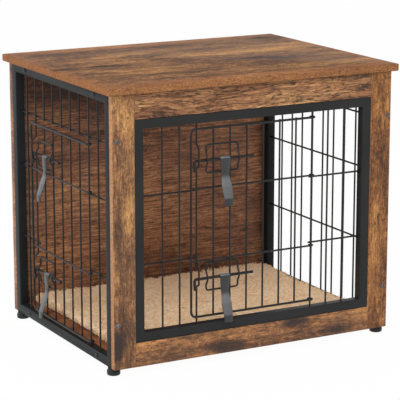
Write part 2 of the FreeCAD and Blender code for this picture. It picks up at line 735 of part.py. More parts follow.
def build_paddle(label, wall, level):
    """The stamped paddle: an eye round the bolt and a strip that swings outward in an S."""
    thick = size("paddle_thickness")
    width = size("paddle_width")
    length = size("paddle_length")
    bolt = size("bolt_diameter") / 2
    near = -(bolt + thick / 2)
    far = near - size("paddle_throw")
    path = bent_path([Vector(0, near, 0), Vector(0, near, -length * 0.42),
                      Vector(0, far, -length * 0.86), Vector(0, far, -length)], [60.0, 14.0])
    span = width * 1.2
    section = Part.makePolygon([Vector(-span / 2, near - thick / 2, 0), Vector(span / 2, near - thick / 2, 0),
                                Vector(span / 2, near + thick / 2, 0), Vector(-span / 2, near + thick / 2, 0),
                                Vector(-span / 2, near - thick / 2, 0)])
    strip = Part.makePolygon(path).makePipeShell([section], True, False, 1)
    blank = paddle_outline(width, length).extrude(Vector(0, 4 * far, 0))
    strip = strip.common(blank)
    eye = Part.makeCylinder(bolt + thick, width, Vector(-width / 2, 0, 0), Vector(1, 0, 0))
    reach = bolt / math.cos(math.pi / BOLT_SIDES)
    eye = eye.fuse(strip).cut(Part.makeCylinder(reach, width * 2, Vector(-width, 0, 0), Vector(1, 0, 0)))
    paddle = doc.addObject("Part::Feature", label)
    paddle.Shape = eye.removeSplitter().Solids[0]
    turn = FreeCAD.Rotation(Vector(0, 0, 1), wall["turn"])
    spot = Vector(catch_x(wall) + size("paddle_offset"), bolt_plane(wall), level)
    paddle.Placement = FreeCAD.Placement(turn.multVec(spot), turn)
    return node(paddle, label)


def build_door_wall(wall, catch_label, hinge_label):
    """A wall with a door: the fixed wires on both sides of it, the door and its two latches."""
    steps = outer_steps(wall)
    members = [build_catch_wire(wall)] + uprights(wall, [-step for step in steps], wall["low"])
    wall_node(catch_label, members + cross_stubs(wall, -1), wall)

    hinge = round_wire(f"{wall['edge']} * {wall['pitch']}", f"{wall['high']} - {wall['low']}",
                       plane_of(wall), wall["low"])
    members = [hinge] + uprights(wall, steps, wall["low"])
    wall_node(hinge_label, members + cross_stubs(wall, 1), wall)

    build_door(f"{wall['name']}_door_grid", wall)
    for place_name, level in zip(("lower", "upper"), map(number, wall["bolts"])):
        build_guide(f"{wall['name']}_{place_name}_guide", wall, level)
        build_bolt(f"{wall['name']}_{place_name}_bolt", wall, level)
        build_paddle(f"{wall['name']}_{place_name}_paddle", wall, level)


def build_left_upper():
    """The fixed wires over the side door."""
    level = LEFT["crosses"][-1]
    half = f"({LEFT['edge']} * {LEFT['pitch']} - dims.wire_diameter)"
    members = uprights(LEFT, door_steps(LEFT), f"({level} - dims.wire_diameter / 2)")
    members.append(straight_wire("x", f"-{half}", f"2 * {half}",
                                 f"{plane_of(LEFT)} + dims.wire_diameter", level))
    wall_node("left_grille_upper", members, LEFT)


def build_right_wire():
    """The right wall: one fixed grille over the whole frame."""
    members = uprights(RIGHT, range(-4, 5), RIGHT["low"])
    members += [straight_wire("x", f"-{RIGHT['inner']}", f"2 * {RIGHT['inner']}",
                              f"{plane_of(RIGHT)} + dims.wire_diameter", level)
                for level in RIGHT["crosses"]]
    wall_node("right_grille", members, RIGHT)


# ---------------------------------------------------------------- pad


def pad_outline(half_x, half_y, inset, level):
    """The pad's outline at a level: round corners, and sides that pull in between them."""
    corner = size("pad_corner")
    pull = size("pad_pull")
    x = half_x - inset
    y = half_y - inset
    spots = []
    for sign_x, sign_y in ((1, 1), (-1, 1), (-1, -1), (1, -1)):
        first = Vector(sign_x * x, sign_y * (y - corner), level)
        second = Vector(sign_x * (x - corner), sign_y * y, level)
        dip = corner * (1 - math.sqrt(0.5))
        peak = Vector(sign_x * (x - dip), sign_y * (y - dip), level)
        spots.append((first, peak, second) if sign_x * sign_y > 0 else (second, peak, first))
    middles = (Vector(0, y - pull, level), Vector(-(x - pull), 0, level),
               Vector(0, -(y - pull), level), Vector(x - pull, 0, level))
    edges = []
    for index, (first, peak, second) in enumerate(spots):
        edges.append(Part.Arc(first, peak, second).toShape())
        edges.append(Part.Arc(second, middles[index], spots[(index + 1) % 4][0]).toShape())
    return Part.Wire(edges)


def build_pad():
    """The plush pad: a crowned form, flat underneath, lying on the floor panel."""
    frame_back = number(BODY_DEPTH) / 2 - size("front_frame_recess") - size("tube_size")
    half_x = number(BODY_WIDTH) / 2 - size("tube_size") - size("pad_margin")
    half_y = frame_back - size("pad_pull") + size("seat_gap")
    thick = size("pad_thickness")
    layers = ((0.0, 9.0), (0.12, 3.0), (0.38, 0.0), (0.68, 3.0), (0.88, 13.0), (1.0, 60.0))
    outlines = [pad_outline(half_x, half_y, inset, thick * share) for share, inset in layers]
    pad = doc.addObject("Part::Feature", "plush_pad")
    pad.Shape = Part.makeLoft(outlines, True, True)
    level = size("foot_height") + size("tube_size") + size("seat_gap")
    pad.Placement = FreeCAD.Placement(Vector(0, 0, level), FreeCAD.Rotation())
    node(pad, "plush_pad")


def check_and_export():
    """Recomputes, refuses any failed or invalid object, and writes one file for each sub-part."""
    doc.recompute()
    for item in doc.Objects:
        if "Invalid" in item.State or "Error" in item.State:
            raise RuntimeError(f"{item.Label} failed: {item.State}")
    os.makedirs("parts", exist_ok=True)
    for item in nodes:
        shape = item.Shape
        if shape.isNull() or not shape.isValid() or not shape.Solids:
            raise RuntimeError(f"{item.Label} has no valid solid")
    for item in nodes:
        item.Shape.exportStep(f"parts/{item.Label}.step")
    print(f"{len(nodes)} sub-parts, {sum(len(item.Shape.Solids) for item in nodes)} solids")


build_boards()
build_frames()
build_feet()
build_fasteners()
build_door_wall(FRONT, "front_grille_left", "front_grille_right")
build_door_wall(LEFT, "left_grille_rear", "left_grille_front")
build_left_upper()
build_right_wire()
build_pad()
check_and_export()
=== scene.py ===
import math

import bpy
import numpy as np
from mathutils import Matrix, Vector


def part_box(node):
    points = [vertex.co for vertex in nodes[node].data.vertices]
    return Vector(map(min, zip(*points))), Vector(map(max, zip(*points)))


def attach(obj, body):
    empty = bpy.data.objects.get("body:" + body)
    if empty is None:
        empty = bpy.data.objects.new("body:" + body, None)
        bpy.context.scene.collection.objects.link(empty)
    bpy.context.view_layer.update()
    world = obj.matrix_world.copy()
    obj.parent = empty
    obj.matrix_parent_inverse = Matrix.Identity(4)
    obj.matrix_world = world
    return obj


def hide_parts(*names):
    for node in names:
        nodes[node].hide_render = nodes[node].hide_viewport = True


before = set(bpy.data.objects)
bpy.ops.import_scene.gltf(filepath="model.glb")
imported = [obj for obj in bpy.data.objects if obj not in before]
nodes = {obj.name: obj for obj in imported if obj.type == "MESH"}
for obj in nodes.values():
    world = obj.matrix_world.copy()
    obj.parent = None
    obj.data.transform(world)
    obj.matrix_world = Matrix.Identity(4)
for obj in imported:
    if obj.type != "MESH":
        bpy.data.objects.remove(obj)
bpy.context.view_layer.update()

scene = bpy.context.scene
scene.view_settings.view_transform = "Standard"
print("frame:", len(nodes), "nodes")

view = {
    "eye": (-1.92273, -3.55389, 1.21014),  # metres, fitted to the photograph's vanishing lines
    "heading": 28.5,  # degrees to the right of +Y
    "drop": 12.89,  # degrees below level
    "focalPixels": 1878.0,  # in a picture 400 pixels wide
    "pictureWidth": 400.0,
}


def makeCamera():
    camera = bpy.data.cameras.new("photoCamera")
    camera.sensor_width = 36.0
    camera.lens = view["focalPixels"] * camera.sensor_width / view["pictureWidth"]
    camera.clip_end = 60.0
    holder = bpy.data.objects.new("photoCamera", camera)
    scene.collection.objects.link(holder)
    holder.location = view["eye"]
    holder.rotation_euler = (math.radians(90 - view["drop"]), 0.0, -math.radians(view["heading"]))
    scene.camera = holder


def rgb(red, green, blue):
    # a colour read as 0 to 255 on the screen, as the linear value a shader needs
    share = np.array([red, green, blue]) / 255.0
    linear = np.where(share <= 0.04045, share / 12.92, ((share + 0.055) / 1.055) ** 2.4)
    return (*linear.tolist(), 1.0)


class Wire:
    # a socket that can be added, taken away, multiplied and so on; each sum becomes a Math node
    def __init__(self, recipe, socket):
        self.recipe = recipe
        self.socket = socket

    def sum(self, operation, *terms):
        return self.recipe.add("ShaderNodeMath", {"operation": operation}, dict(enumerate(terms)))

    def __add__(self, other):
        return self.sum("ADD", self, other)

    def __radd__(self, other):
        return self.sum("ADD", other, self)

    def __sub__(self, other):
        return self.sum("SUBTRACT", self, other)

    def __rsub__(self, other):
        return self.sum("SUBTRACT", other, self)

    def __mul__(self, other):
        return self.sum("MULTIPLY", self, other)

    def __rmul__(self, other):
        return self.sum("MULTIPLY", other, self)

    def __abs__(self):
        return self.sum("ABSOLUTE", self)

    def orMore(self, other):
        return self.sum("MAXIMUM", self, other)

    def above(self, low, high):
        # 0 under low, 1 over high and a smooth rise between them
        return self.recipe.add("ShaderNodeMapRange", {"interpolation_type": "SMOOTHSTEP"},
                               {"Value": self, "From Min": low, "From Max": high})


class Recipe:
    # the nodes of one material or of the world
    def __init__(self, tree):
        self.tree = tree

    def add(self, kind, settings, inputs, output=0):
        # makes a node: its settings first, then the values or links of its sockets
        node = self.tree.nodes.new(kind)
        for name, value in settings.items():
            if name == "stops":
                ramp = node.color_ramp
                while len(ramp.elements) < len(value):
                    ramp.elements.new(0.5)
                for element, (spot, colour) in zip(ramp.elements, value):
                    element.position = spot
                    element.color = colour
            else:
                setattr(node, name, value)
        for name, value in inputs.items():
            self.feed(node.inputs[name], value)
        return Wire(self, node.outputs[output])

    def feed(self, socket, value):
        if isinstance(value, Wire):
            self.tree.links.new(value.socket, socket)
        else:
            socket.default_value = value

    def place(self, output="Object"):
        return self.add("ShaderNodeTexCoord", {}, {}, output)

    def stretched(self, vector, scale=(1, 1, 1), turn=(0, 0, 0), shift=(0, 0, 0)):
        return self.add("ShaderNodeMapping", {}, {"Vector": vector, "Scale": scale, "Rotation": turn,
                                                  "Location": shift})

    def vector(self, operation, first, second, output=0, third=(0, 0, 0)):
        return self.add("ShaderNodeVectorMath", {"operation": operation},
                        {0: first, 1: second, 2: third}, output)

    def noise(self, vector, detail=3.0, roughness=0.5, scale=1.0, output=0):
        return self.add("ShaderNodeTexNoise", {}, {"Vector": vector, "Scale": scale, "Detail": detail,
                                                   "Roughness": roughness}, output)

    def blend(self, share, first, second):
        # mixes two colours
        return self.add("ShaderNodeMix", {"data_type": "RGBA"}, {0: share, 6: first, 7: second}, 2)

    def ramp(self, value, stops):
        return self.add("ShaderNodeValToRGB", {"stops": stops}, {0: value})

    def bump(self, height, strength, distance):
        return self.add("ShaderNodeBump", {}, {"Height": height, "Strength": strength,
                                               "Distance": distance})

    def seen(self):
        # 1 for what the camera sees, straight or in a mirror or glass
        rays = [self.add("ShaderNodeLightPath", {}, {}, "Is " + kind + " Ray")
                for kind in ("Camera", "Glossy", "Transmission")]
        return rays[0].orMore(rays[1]).orMore(rays[2])


class Paint(Recipe):
    # a material round Blender's principled shader
    def __init__(self, name):
        self.material = bpy.data.materials.new(name)
        self.material.use_nodes = True
        super().__init__(self.material.node_tree)
        self.shader = self.tree.nodes["Principled BSDF"]

    def finish(self, **inputs):
        # the shader's own inputs by name, with _ for each space
        for name, value in inputs.items():
            self.feed(self.shader.inputs[name.replace("_", " ")], value)
        return self.material


def link(name, mesh):
    piece = bpy.data.objects.new(name, mesh)
    scene.collection.objects.link(piece)
    return piece


studio = {
    "worldLight": 0.66,
    "lamps": {
        "key": {"at": (-1.15, -2.2, 2.95), "size": 1.7, "power": 52.0},
        "left": {"at": (-3.0, -0.2, 1.5), "size": 1.8, "power": 22.0},
        "back": {"at": (0.9, 1.6, 2.9), "size": 1.8, "power": 14.0},
    },
    "aim": (0.0, 0.0, 0.3),
    "floorSize": 60.0,
    "floorWhite": 0.97,  # how much of the floor that the camera sees is plain white, the rest is lit
}


def makeStudio():
    world = bpy.data.worlds.new("studio")
    scene.world = world
    world.use_nodes = True
    sky = Recipe(world.node_tree)
    backdrop = world.node_tree.nodes["Background"]
    sky.feed(backdrop.inputs["Color"], (1.0, 1.0, 1.0, 1.0))
    sky.feed(backdrop.inputs["Strength"], studio["worldLight"] + sky.seen() * (1 - studio["worldLight"]))

    for name, look in studio["lamps"].items():
        lamp = bpy.data.lights.new(name + "Lamp", "AREA")
        lamp.size = look["size"]
        lamp.energy = look["power"]
        holder = bpy.data.objects.new(name + "Lamp", lamp)
        scene.collection.objects.link(holder)
        holder.location = look["at"]
        aim = Vector(studio["aim"]) - Vector(look["at"])
        holder.rotation_euler = aim.to_track_quat("-Z", "Y").to_euler()

    half = studio["floorSize"] / 2
    mesh = bpy.data.meshes.new("floor")
    mesh.from_pydata([(-half, -half, 0), (half, -half, 0), (half, half, 0), (-half, half, 0)], [],
                     [(0, 1, 2, 3)])
    paint = Paint("floorPaint")
    paint.finish(Base_Color=(0.92, 0.92, 0.92, 1.0), Roughness=0.9, Specular_IOR_Level=0.0)
    glow = paint.add("ShaderNodeEmission", {}, {"Color": (1.0, 1.0, 1.0, 1.0)})
    both = paint.add("ShaderNodeMixShader", {}, {0: paint.seen() * studio["floorWhite"],
                                                 1: Wire(paint, paint.shader.outputs[0]), 2: glow})
    paint.feed(paint.tree.nodes["Material Output"].inputs["Surface"], both)
    mesh.materials.append(paint.material)
    link("floor", mesh)


makeCamera()
makeStudio()
print("camera, light and floor: done")


def closedGrid(points, wrapAlong=False):
    # points[i, j] is point j of ring i; rings are joined in order, and either the last ring joins the
    # first or both end rings are filled
    rings, across = points.shape[:2]
    index = np.arange(rings * across).reshape(rings, across)
    index = np.concatenate([index, index[:, :1]], axis=1)
    if wrapAlong:
        index = np.concatenate([index, index[:1]], axis=0)
    quads = np.stack([index[:-1, :-1], index[:-1, 1:], index[1:, 1:], index[1:, :-1]], -1).reshape(-1, 4)
    faces = quads.tolist()
    if not wrapAlong:
        faces.append(index[0, :across][::-1].tolist())
        faces.append(index[-1, :across].tolist())
    return points.reshape(-1, 3), faces


class Pile:
    # many surfaces gathered into one mesh
    def __init__(self):
        self.points = []
        self.faces = []
        self.count = 0

    def take(self, surface):
        points, faces = surface
        self.points.append(points)
        self.faces += [[corner + self.count for corner in face] for face in faces]
        self.count += len(points)
        return self

    def piece(self, name, smooth=30.0):
        mesh = bpy.data.meshes.new(name)
        mesh.from_pydata(np.concatenate(self.points).tolist(), [], self.faces)
        mesh.validate()
        mesh.shade_smooth()
        mesh.set_sharp_from_angle(angle=math.radians(smooth))
        return link(name, mesh)


def unit(vectors):
    return vectors / np.linalg.norm(vectors, axis=-1, keepdims=True)


def bent(corners, bend, steps=6):
    # rounds each inner corner of a route: the arc of radius bend that touches both runs
    corners = np.array(corners, float)
    bends = np.broadcast_to(bend, len(corners) - 2)
    route = [corners[:1]]
    for before, corner, after, radius in zip(corners, corners[1:], corners[2:], bends):
        into, out = unit(before - corner), unit(after - corner)
        half = math.acos(np.clip(into @ out, -1, 1)) / 2
        radius = min(radius, 0.48 * math.tan(half) * min(np.linalg.norm(before - corner),
                                                         np.linalg.norm(after - corner)))
        centre = corner + unit(into + out) * radius / math.sin(half)
        start = corner + into * radius / math.tan(half) - centre
        angle = np.linspace(0, math.pi - 2 * half, steps + 1)[:, None]
        route.append(centre + start * np.cos(angle) - into * radius * np.sin(angle))
    route.append(corners[-1:])
    return np.concatenate(route)


def roundWire(route, radius, sides=12, closed=False):
    # a circle carried along a route: centre + radius (cos a * side + sin a * up), where side and up
    # are square to the route, and side is found from one slanting direction that no wire runs along
    route = np.array(route, float)
    if closed:
        along = np.roll(route, -1, axis=0) - np.roll(route, 1, axis=0)
    else:
        runs = unit(np.diff(route, axis=0))
        along = np.concatenate([runs[:1], runs[:-1] + runs[1:], runs[-1:]])
    along = unit(along)
    side = unit(np.cross(along, unit(np.array([1.0, 1.0, 1.0]))))
    up = np.cross(side, along)
    angle = np.linspace(0, 2 * math.pi, sides, endpoint=False)
    ring = side[:, None] * np.cos(angle)[None, :, None] + up[:, None] * np.sin(angle)[None, :, None]
    points = route[:, None] + radius * ring
    return closedGrid(points[:, ::-1], wrapAlong=closed)


def turnedSolid(profile, centre, sides):
    # a profile of (radius, height) pairs turned about an upright axis through centre
    profile = np.array(profile, float)
    angle = np.linspace(0, 2 * math.pi, sides, endpoint=False)
    x = profile[:, :1] * np.cos(angle)
    y = profile[:, :1] * np.sin(angle)
    z = np.repeat(profile[:, 1:], sides, axis=1)
    return closedGrid(np.stack([x, y, z], -1) + np.array(centre))


quarters = np.array([[1, 1], [-1, 1], [-1, -1], [1, -1]])


def quarterArcs(steps):
    # for each corner of a rectangle in turn: its direction, and the arc (cos a, sin a) round it
    angle = np.linspace(0, math.pi / 2, steps)[None, :] + np.arange(4)[:, None] * math.pi / 2
    return quarters[:, None, :], np.stack([np.cos(angle), np.sin(angle)], -1)


def stoodUp(ring, height, order=(0, 1, 2)):
    # gives flat rings their height and puts the three measures in the table's own order
    height = np.broadcast_to(height[..., None], ring.shape[:2] + (1,))
    return np.concatenate([ring, height], -1)[..., np.argsort(order)]


def dress(piece, material, slot, body, *stands):
    # a finished piece's material and body, and the CAD nodes that it stands for; the slot is not used
    piece.data.materials.append(material)
    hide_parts(*stands)
    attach(piece, body)


def powderCoat(name, look):
    # baked powder paint: an even dark coat with a fine orange peel. Where a look gives a tone for faces
    # that point up, that tone is a painted highlight in place of a gleam
    paint = Paint(name)
    place = paint.place()
    cloud = paint.noise(place, scale=9.0)
    peel = paint.noise(place, 2.0, 0.6, scale=700.0)
    tone = paint.blend(cloud.above(0.35, 0.75), rgb(*look["colour"]), rgb(*look["pale"]))
    if "paintedHighlight" in look:
        # a painted highlight: the paler tone goes on faces that point up
        rise = paint.add("ShaderNodeSeparateXYZ", {}, {0: paint.place("Normal")}, "Z")
        tone = paint.blend(rise.above(0.10, 0.40), tone, rgb(*look["paintedHighlight"]))
    return paint.finish(Base_Color=tone, Roughness=look["roughness"] + 0.16 * (peel - 0.5),
                        Specular_IOR_Level=look["shine"], Metallic=look.get("metal", 0.0),
                        Normal=paint.bump(peel, 0.25, 0.00012))


steel = {
    "frame": powderCoat("frameCoat", {"colour": (30, 31, 31), "pale": (38, 38, 39), "roughness": 0.46,
                                      "shine": 0.24}),
    "side": powderCoat("sideFrameCoat", {"colour": (29, 31, 32), "pale": (36, 38, 40), "roughness": 0.44,
                                         "shine": 0.12}),
    "wire": powderCoat("wireCoat", {"colour": (21, 21, 22), "pale": (27, 27, 28), "roughness": 0.34,
                                    "shine": 0.30}),
    # the latch coat's paler tone on faces that point up is a painted highlight
    "latch": powderCoat("latchCoat", {"colour": (36, 37, 38), "pale": (46, 46, 48), "roughness": 0.30,
                                      "shine": 0.50, "paintedHighlight": (100, 102, 104)}),
    "screw": powderCoat("screwCoat", {"colour": (92, 95, 102), "pale": (128, 131, 138),
                                      "roughness": 0.28, "shine": 0.80, "metal": 0.7}),
    "railScrew": powderCoat("railScrewCoat", {"colour": (20, 20, 22), "pale": (30, 30, 32),
                                              "roughness": 0.30, "shine": 0.50}),
}


def plastic(name, colour, pale, roughness):
    # moulded plastic: faint cloudiness and a fine spark-eroded texture
    paint = Paint(name)
    place = paint.place()
    fine = paint.noise(place, 1.0, scale=1300.0)
    tone = paint.blend(paint.noise(place, 2.0, scale=40.0), rgb(*colour), rgb(*pale))
    return paint.finish(Base_Color=tone, Roughness=roughness + 0.1 * (fine - 0.5),
                        Specular_IOR_Level=0.35, Normal=paint.bump(fine, 0.3, 0.0001))


footPlastic = plastic("footPlastic", (20, 21, 22), (28, 29, 31), 0.45)
print("steel and plastic: done")

grainTurn = {"x": (0.0, 0.0, 0.0), "z": (0.0, math.radians(90), 0.0)}
woodBase = {
    "grain": "x", "shift": (0.0, 0.0, 0.0), "sway": 0.020, "spots": [],
    "clouds": (4.5, 17.0, 17.0), "mottle": (48.0, 95.0, 95.0), "specks": (230.0, 420.0, 420.0),
    "cracks": (11.0, 150.0, 150.0), "saw": (4.0, 330.0, 330.0), "burn": (7.0, 20.0, 20.0),
    "fibres": (22.0, 280.0, 280.0), "shares": (0.32, 0.30, 0.22, 0.16), "contrast": 2.0,
    "stops": [(0.28, (58, 44, 38)), (0.40, (98, 67, 47)), (0.50, (142, 98, 62)),
              (0.59, (180, 127, 77)), (0.72, (218, 164, 100))],
    "crackTone": (58, 38, 28), "crackWidth": 0.035, "crackShare": 0.45,
    "sawTone": (70, 46, 36), "sawShare": 0.0, "poreShare": 0.55,
    "burnTone": (56, 48, 45), "burnFrom": 0.575, "burnShare": 0.80,
    "edge": None, "edgeTone": (196, 132, 82), "edgeShare": 0.6,
    "worn": None, "wornTone": (160, 104, 66),
    "shaded": False, "shadeLevels": (0.5805, 0.5845), "shadeTone": (44, 28, 20), "shadeShare": 0.6,
    "gloss": 0.46, "relief": 0.30, "shine": 0.25,
}


def woodFilm(name, **own):
    # a printed rustic wood film: clouds, mottle, fibres and specks make the tone, then come wavy cracks,
    # saw lines, pores and charred patches; all are noise drawn out along the grain. Each spot is a
    # soft oval that lifts or sinks the tone where a board is golden or dark; on the back panel the spots
    # are painted light lower down and painted shade towards the top
    look = dict(woodBase, **own)
    film = Paint(name)
    place = film.place()
    lift = 0.0
    for centre, reach, rise in look["spots"]:
        away = film.stretched(film.vector("SUBTRACT", place, centre), [1 / size for size in reach])
        lift = lift + rise * (1 - film.vector("LENGTH", away, (0, 0, 0), "Value").above(0.1, 1.0))
    laid = film.stretched(place, turn=grainTurn[look["grain"]], shift=look["shift"])
    drift = film.vector("SUBTRACT", film.noise(film.stretched(laid, (6, 18, 18)), 2.0, output=1),
                        (0.5, 0.5, 0.5))
    laid = film.vector("MULTIPLY_ADD", drift, [look["sway"]] * 3, third=laid)

    clouds = film.noise(film.stretched(laid, look["clouds"]), 4.0, 0.6)
    mottle = film.noise(film.stretched(laid, look["mottle"]), 6.0, 0.78)
    fibres = film.noise(film.stretched(laid, look["fibres"]), 5.0, 0.7)
    specks = film.noise(film.stretched(laid, look["specks"]), 3.0, 0.7)
    tone = sum(part * share for part, share in zip((clouds, mottle, fibres, specks), look["shares"]))
    wood = film.ramp((tone - 0.5) * look["contrast"] + 0.5 + lift,
                     [(spot, rgb(*colour)) for spot, colour in look["stops"]])
    if look["worn"]:
        # a paler band round the top, its width set for the left, right, front and back edge
        apart = film.add("ShaderNodeSeparateXYZ", {}, {0: place}, "X")
        across = Wire(film, apart.socket.node.outputs["Y"])
        low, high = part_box("table_top")
        left, right, front, back = look["worn"]
        ragged = (clouds - 0.5) * 0.03 + (mottle - 0.5) * 0.02
        bands = [(apart - low[0] + ragged, left), (high[0] - apart + ragged, right),
                 (across - low[1] + ragged, front), (high[1] - across + ragged, back)]
        worn = 0.0
        for inward, width in bands:
            worn = (1 - inward.above(width * 0.75, width * 1.15)).orMore(worn)
        wood = film.blend(worn * (0.25 + 0.45 * specks.above(0.35, 0.65)), wood, rgb(*look["wornTone"]))

    burn = film.noise(film.stretched(laid, look["burn"], shift=(3.1, 1.7, 0.4)), 5.0, 0.62)
    burn = (burn * 0.62 + mottle * 0.20 + fibres * 0.18 - lift).above(look["burnFrom"],
                                                                   look["burnFrom"] + 0.035)
    burn = burn * look["burnShare"] * (0.7 + 0.6 * fibres)
    wood = film.blend(burn, wood, rgb(*look["burnTone"]))

    crack = film.noise(film.stretched(laid, look["cracks"], shift=(0.7, 2.3, 5.0)), 3.0, 0.55)
    crack = 1 - abs(crack - 0.5).above(look["crackWidth"] * 0.4, look["crackWidth"])
    crack = crack * mottle.above(0.38, 0.55)
    wood = film.blend(crack * look["crackShare"], wood, rgb(*look["crackTone"]))
    pores = film.noise(film.stretched(laid, (90.0, 210.0, 210.0), shift=(2.2, 0.3, 1.9)), 3.0, 0.6)
    pores = pores.above(0.55, 0.64)
    wood = film.blend(pores * look["poreShare"], wood, rgb(*look["crackTone"]))
    height = specks * 0.4 + mottle * 0.4 - crack * 0.6 - pores * 0.4
    if look["sawShare"]:
        saw = film.noise(film.stretched(laid, look["saw"]), 2.0, 0.5).above(0.46, 0.60)
        wood = film.blend(saw * look["sawShare"], wood, rgb(*look["sawTone"]))
        height = height - saw * 0.4
    if look["shaded"]:
        # a dark line painted close under the table top, in place of the shadow there
        level = film.add("ShaderNodeSeparateXYZ", {}, {0: place}, "Z").above(*look["shadeLevels"])
        wood = film.blend(look["shadeShare"] * level, wood, rgb(*look["shadeTone"]))
    if look["edge"]:
        side = abs(film.add("ShaderNodeSeparateXYZ", {}, {0: film.place("Normal")}, look["edge"]))
        side = side.above(0.55, 0.85)
        side = 1 - side if look["edge"] == "Z" else side
        rim = film.blend(0.75 * (1 - specks.above(0.40, 0.60)), rgb(*look["edgeTone"]),
                         rgb(*[shade * 0.55 for shade in look["edgeTone"]]))
        wood = film.blend(side * look["edgeShare"], wood, rim)
    return film.finish(Base_Color=wood, Roughness=look["gloss"] + 0.25 * (mottle - 0.5) + 0.08 * burn,
                       Specular_IOR_Level=look["shine"],
                       Normal=film.bump(height, look["relief"], 0.0004))


woods = {
    "top": dict(
        shift=(0.3, 0.1, 0.0), gloss=0.36, edge="Z", relief=0.12, shine=0.004,
        contrast=2.5, worn=(0.020, 0.022, 0.045, 0.050), edgeTone=(176, 122, 82), edgeShare=0.75,
        clouds=(3.6, 15.0, 15.0),
        stops=[(0.28, (52, 39, 32)), (0.40, (88, 62, 47)), (0.50, (122, 86, 60)),
               (0.59, (158, 112, 70)), (0.72, (198, 146, 88))],
        spots=[((-0.12, 0.25, 0.6), (0.26, 0.04, 0.1), 0.10),
               ((-0.20, 0.02, 0.6), (0.24, 0.14, 0.1), -0.03),
               ((0.18, 0.06, 0.6), (0.26, 0.11, 0.1), 0.15),
               ((0.30, 0.20, 0.6), (0.14, 0.05, 0.1), -0.09),
               ((0.16, -0.16, 0.6), (0.24, 0.06, 0.1), 0.08)]),
    "headRail": dict(
        shift=(1.3, 0.4, 0.2), contrast=1.35, crackShare=0.9,
        crackWidth=0.07, cracks=(7.0, 175.0, 175.0), burnShare=0.2, sway=0.045,
        shaded=True, shares=(0.30, 0.22, 0.40, 0.08),
        stops=[(0.28, (92, 58, 42)), (0.40, (132, 88, 59)), (0.50, (170, 120, 80)),
               (0.59, (202, 152, 102)), (0.72, (230, 186, 130))],
        spots=[((-0.24, -0.26, 0.56), (0.12, 0.1, 0.08), -0.04),
               ((0.12, -0.26, 0.56), (0.30, 0.1, 0.06), 0.03)]),
    "sillRail": dict(
        shift=(2.3, 0.7, 0.9), burnShare=0.6,
        stops=[(0.28, (72, 54, 46)), (0.40, (124, 86, 60)), (0.50, (170, 118, 76)),
               (0.59, (202, 144, 88)), (0.72, (230, 178, 114))],
        spots=[((-0.06, -0.26, 0.03), (0.07, 0.1, 0.02), -0.13),
               ((0.10, -0.26, 0.06), (0.06, 0.1, 0.02), -0.14),
               ((0.20, -0.26, 0.03), (0.08, 0.1, 0.02), -0.10),
               ((-0.14, -0.26, 0.05), (0.10, 0.1, 0.02), 0.05)]),
    "leftStile": dict(
        grain="z", shift=(0.9, 0.2, 0.5), edge="X", shaded=True,
        stops=[(0.28, (58, 45, 39)), (0.40, (97, 69, 50)), (0.50, (139, 98, 66)),
               (0.59, (176, 127, 80)), (0.72, (212, 162, 100))],
        edgeTone=(206, 146, 98), edgeShare=0.8, mottle=(70.0, 110.0, 110.0),
        spots=[((-0.296, -0.26, 0.33), (0.024, 0.1, 0.08), 0.11),
               ((-0.325, -0.26, 0.06), (0.02, 0.1, 0.05), -0.13),
               ((-0.320, -0.26, 0.30), (0.012, 0.1, 0.10), -0.06),
               ((-0.30, -0.26, 0.12), (0.05, 0.1, 0.12), -0.04),
               ((-0.29, -0.26, 0.53), (0.03, 0.1, 0.05), 0.05)]),
    "rightStile": dict(
        grain="z", shift=(3.1, 1.2, 0.1), edge="X", shaded=True,
        stops=[(0.28, (54, 40, 33)), (0.40, (94, 60, 38)), (0.50, (138, 90, 53)),
               (0.59, (176, 120, 68)), (0.72, (212, 156, 90))],
        edgeTone=(190, 132, 86), edgeShare=0.7, mottle=(70.0, 110.0, 110.0),
        spots=[((0.30, -0.26, 0.55), (0.04, 0.1, 0.04), -0.07),
               ((0.315, -0.26, 0.15), (0.02, 0.1, 0.08), -0.06)]),
    "back": dict(
        shift=(5.2, 2.2, 0.7), sawShare=0.6, crackShare=0.3, contrast=1.6,
        stops=[(0.28, (72, 50, 41)), (0.40, (120, 80, 60)), (0.50, (166, 114, 82)),
               (0.59, (200, 142, 100)), (0.72, (228, 174, 124))],
        # the back panel's spots are painted light, paler lower down, and painted shade, darker towards
        # the top under the table top
        spots=[((-0.2, 0.25, 0.20), (0.5, 0.1, 0.17), 0.10),
               ((0.0, 0.25, 0.52), (0.5, 0.1, 0.16), -0.12)]),
    "floor": dict(
        shift=(7.7, 3.2, 0.3),
        stops=[(0.28, (70, 40, 28)), (0.40, (112, 64, 40)), (0.50, (146, 88, 54)),
               (0.59, (174, 110, 66)), (0.72, (200, 138, 84))]),
}
films = {name: woodFilm(name + "Film", **look) for name, look in woods.items()}
boards = {
    "table_top": {"film": "top", "face": "z", "corner": 0.005, "edge": 0.0022},
    "front_top_rail": {"film": "headRail", "face": "y", "corner": 0.0006, "edge": 0.0005},
    "front_bottom_rail": {"film": "sillRail", "face": "y", "corner": 0.0006, "edge": 0.0005},
    "left_stile": {"film": "leftStile", "face": "y", "corner": 0.0014, "edge": 0.0012},
    "right_stile": {"film": "rightStile", "face": "y", "corner": 0.0014, "edge": 0.0012},
    "back_panel": {"film": "back", "face": "y", "corner": 0.0014, "edge": 0.0012},
    "floor_panel": {"film": "floor", "face": "z", "corner": 0.0014, "edge": 0.0012},
}
slotOf = {"table_top": "top_board", "back_panel": "back_board", "floor_panel": "floor_board"}


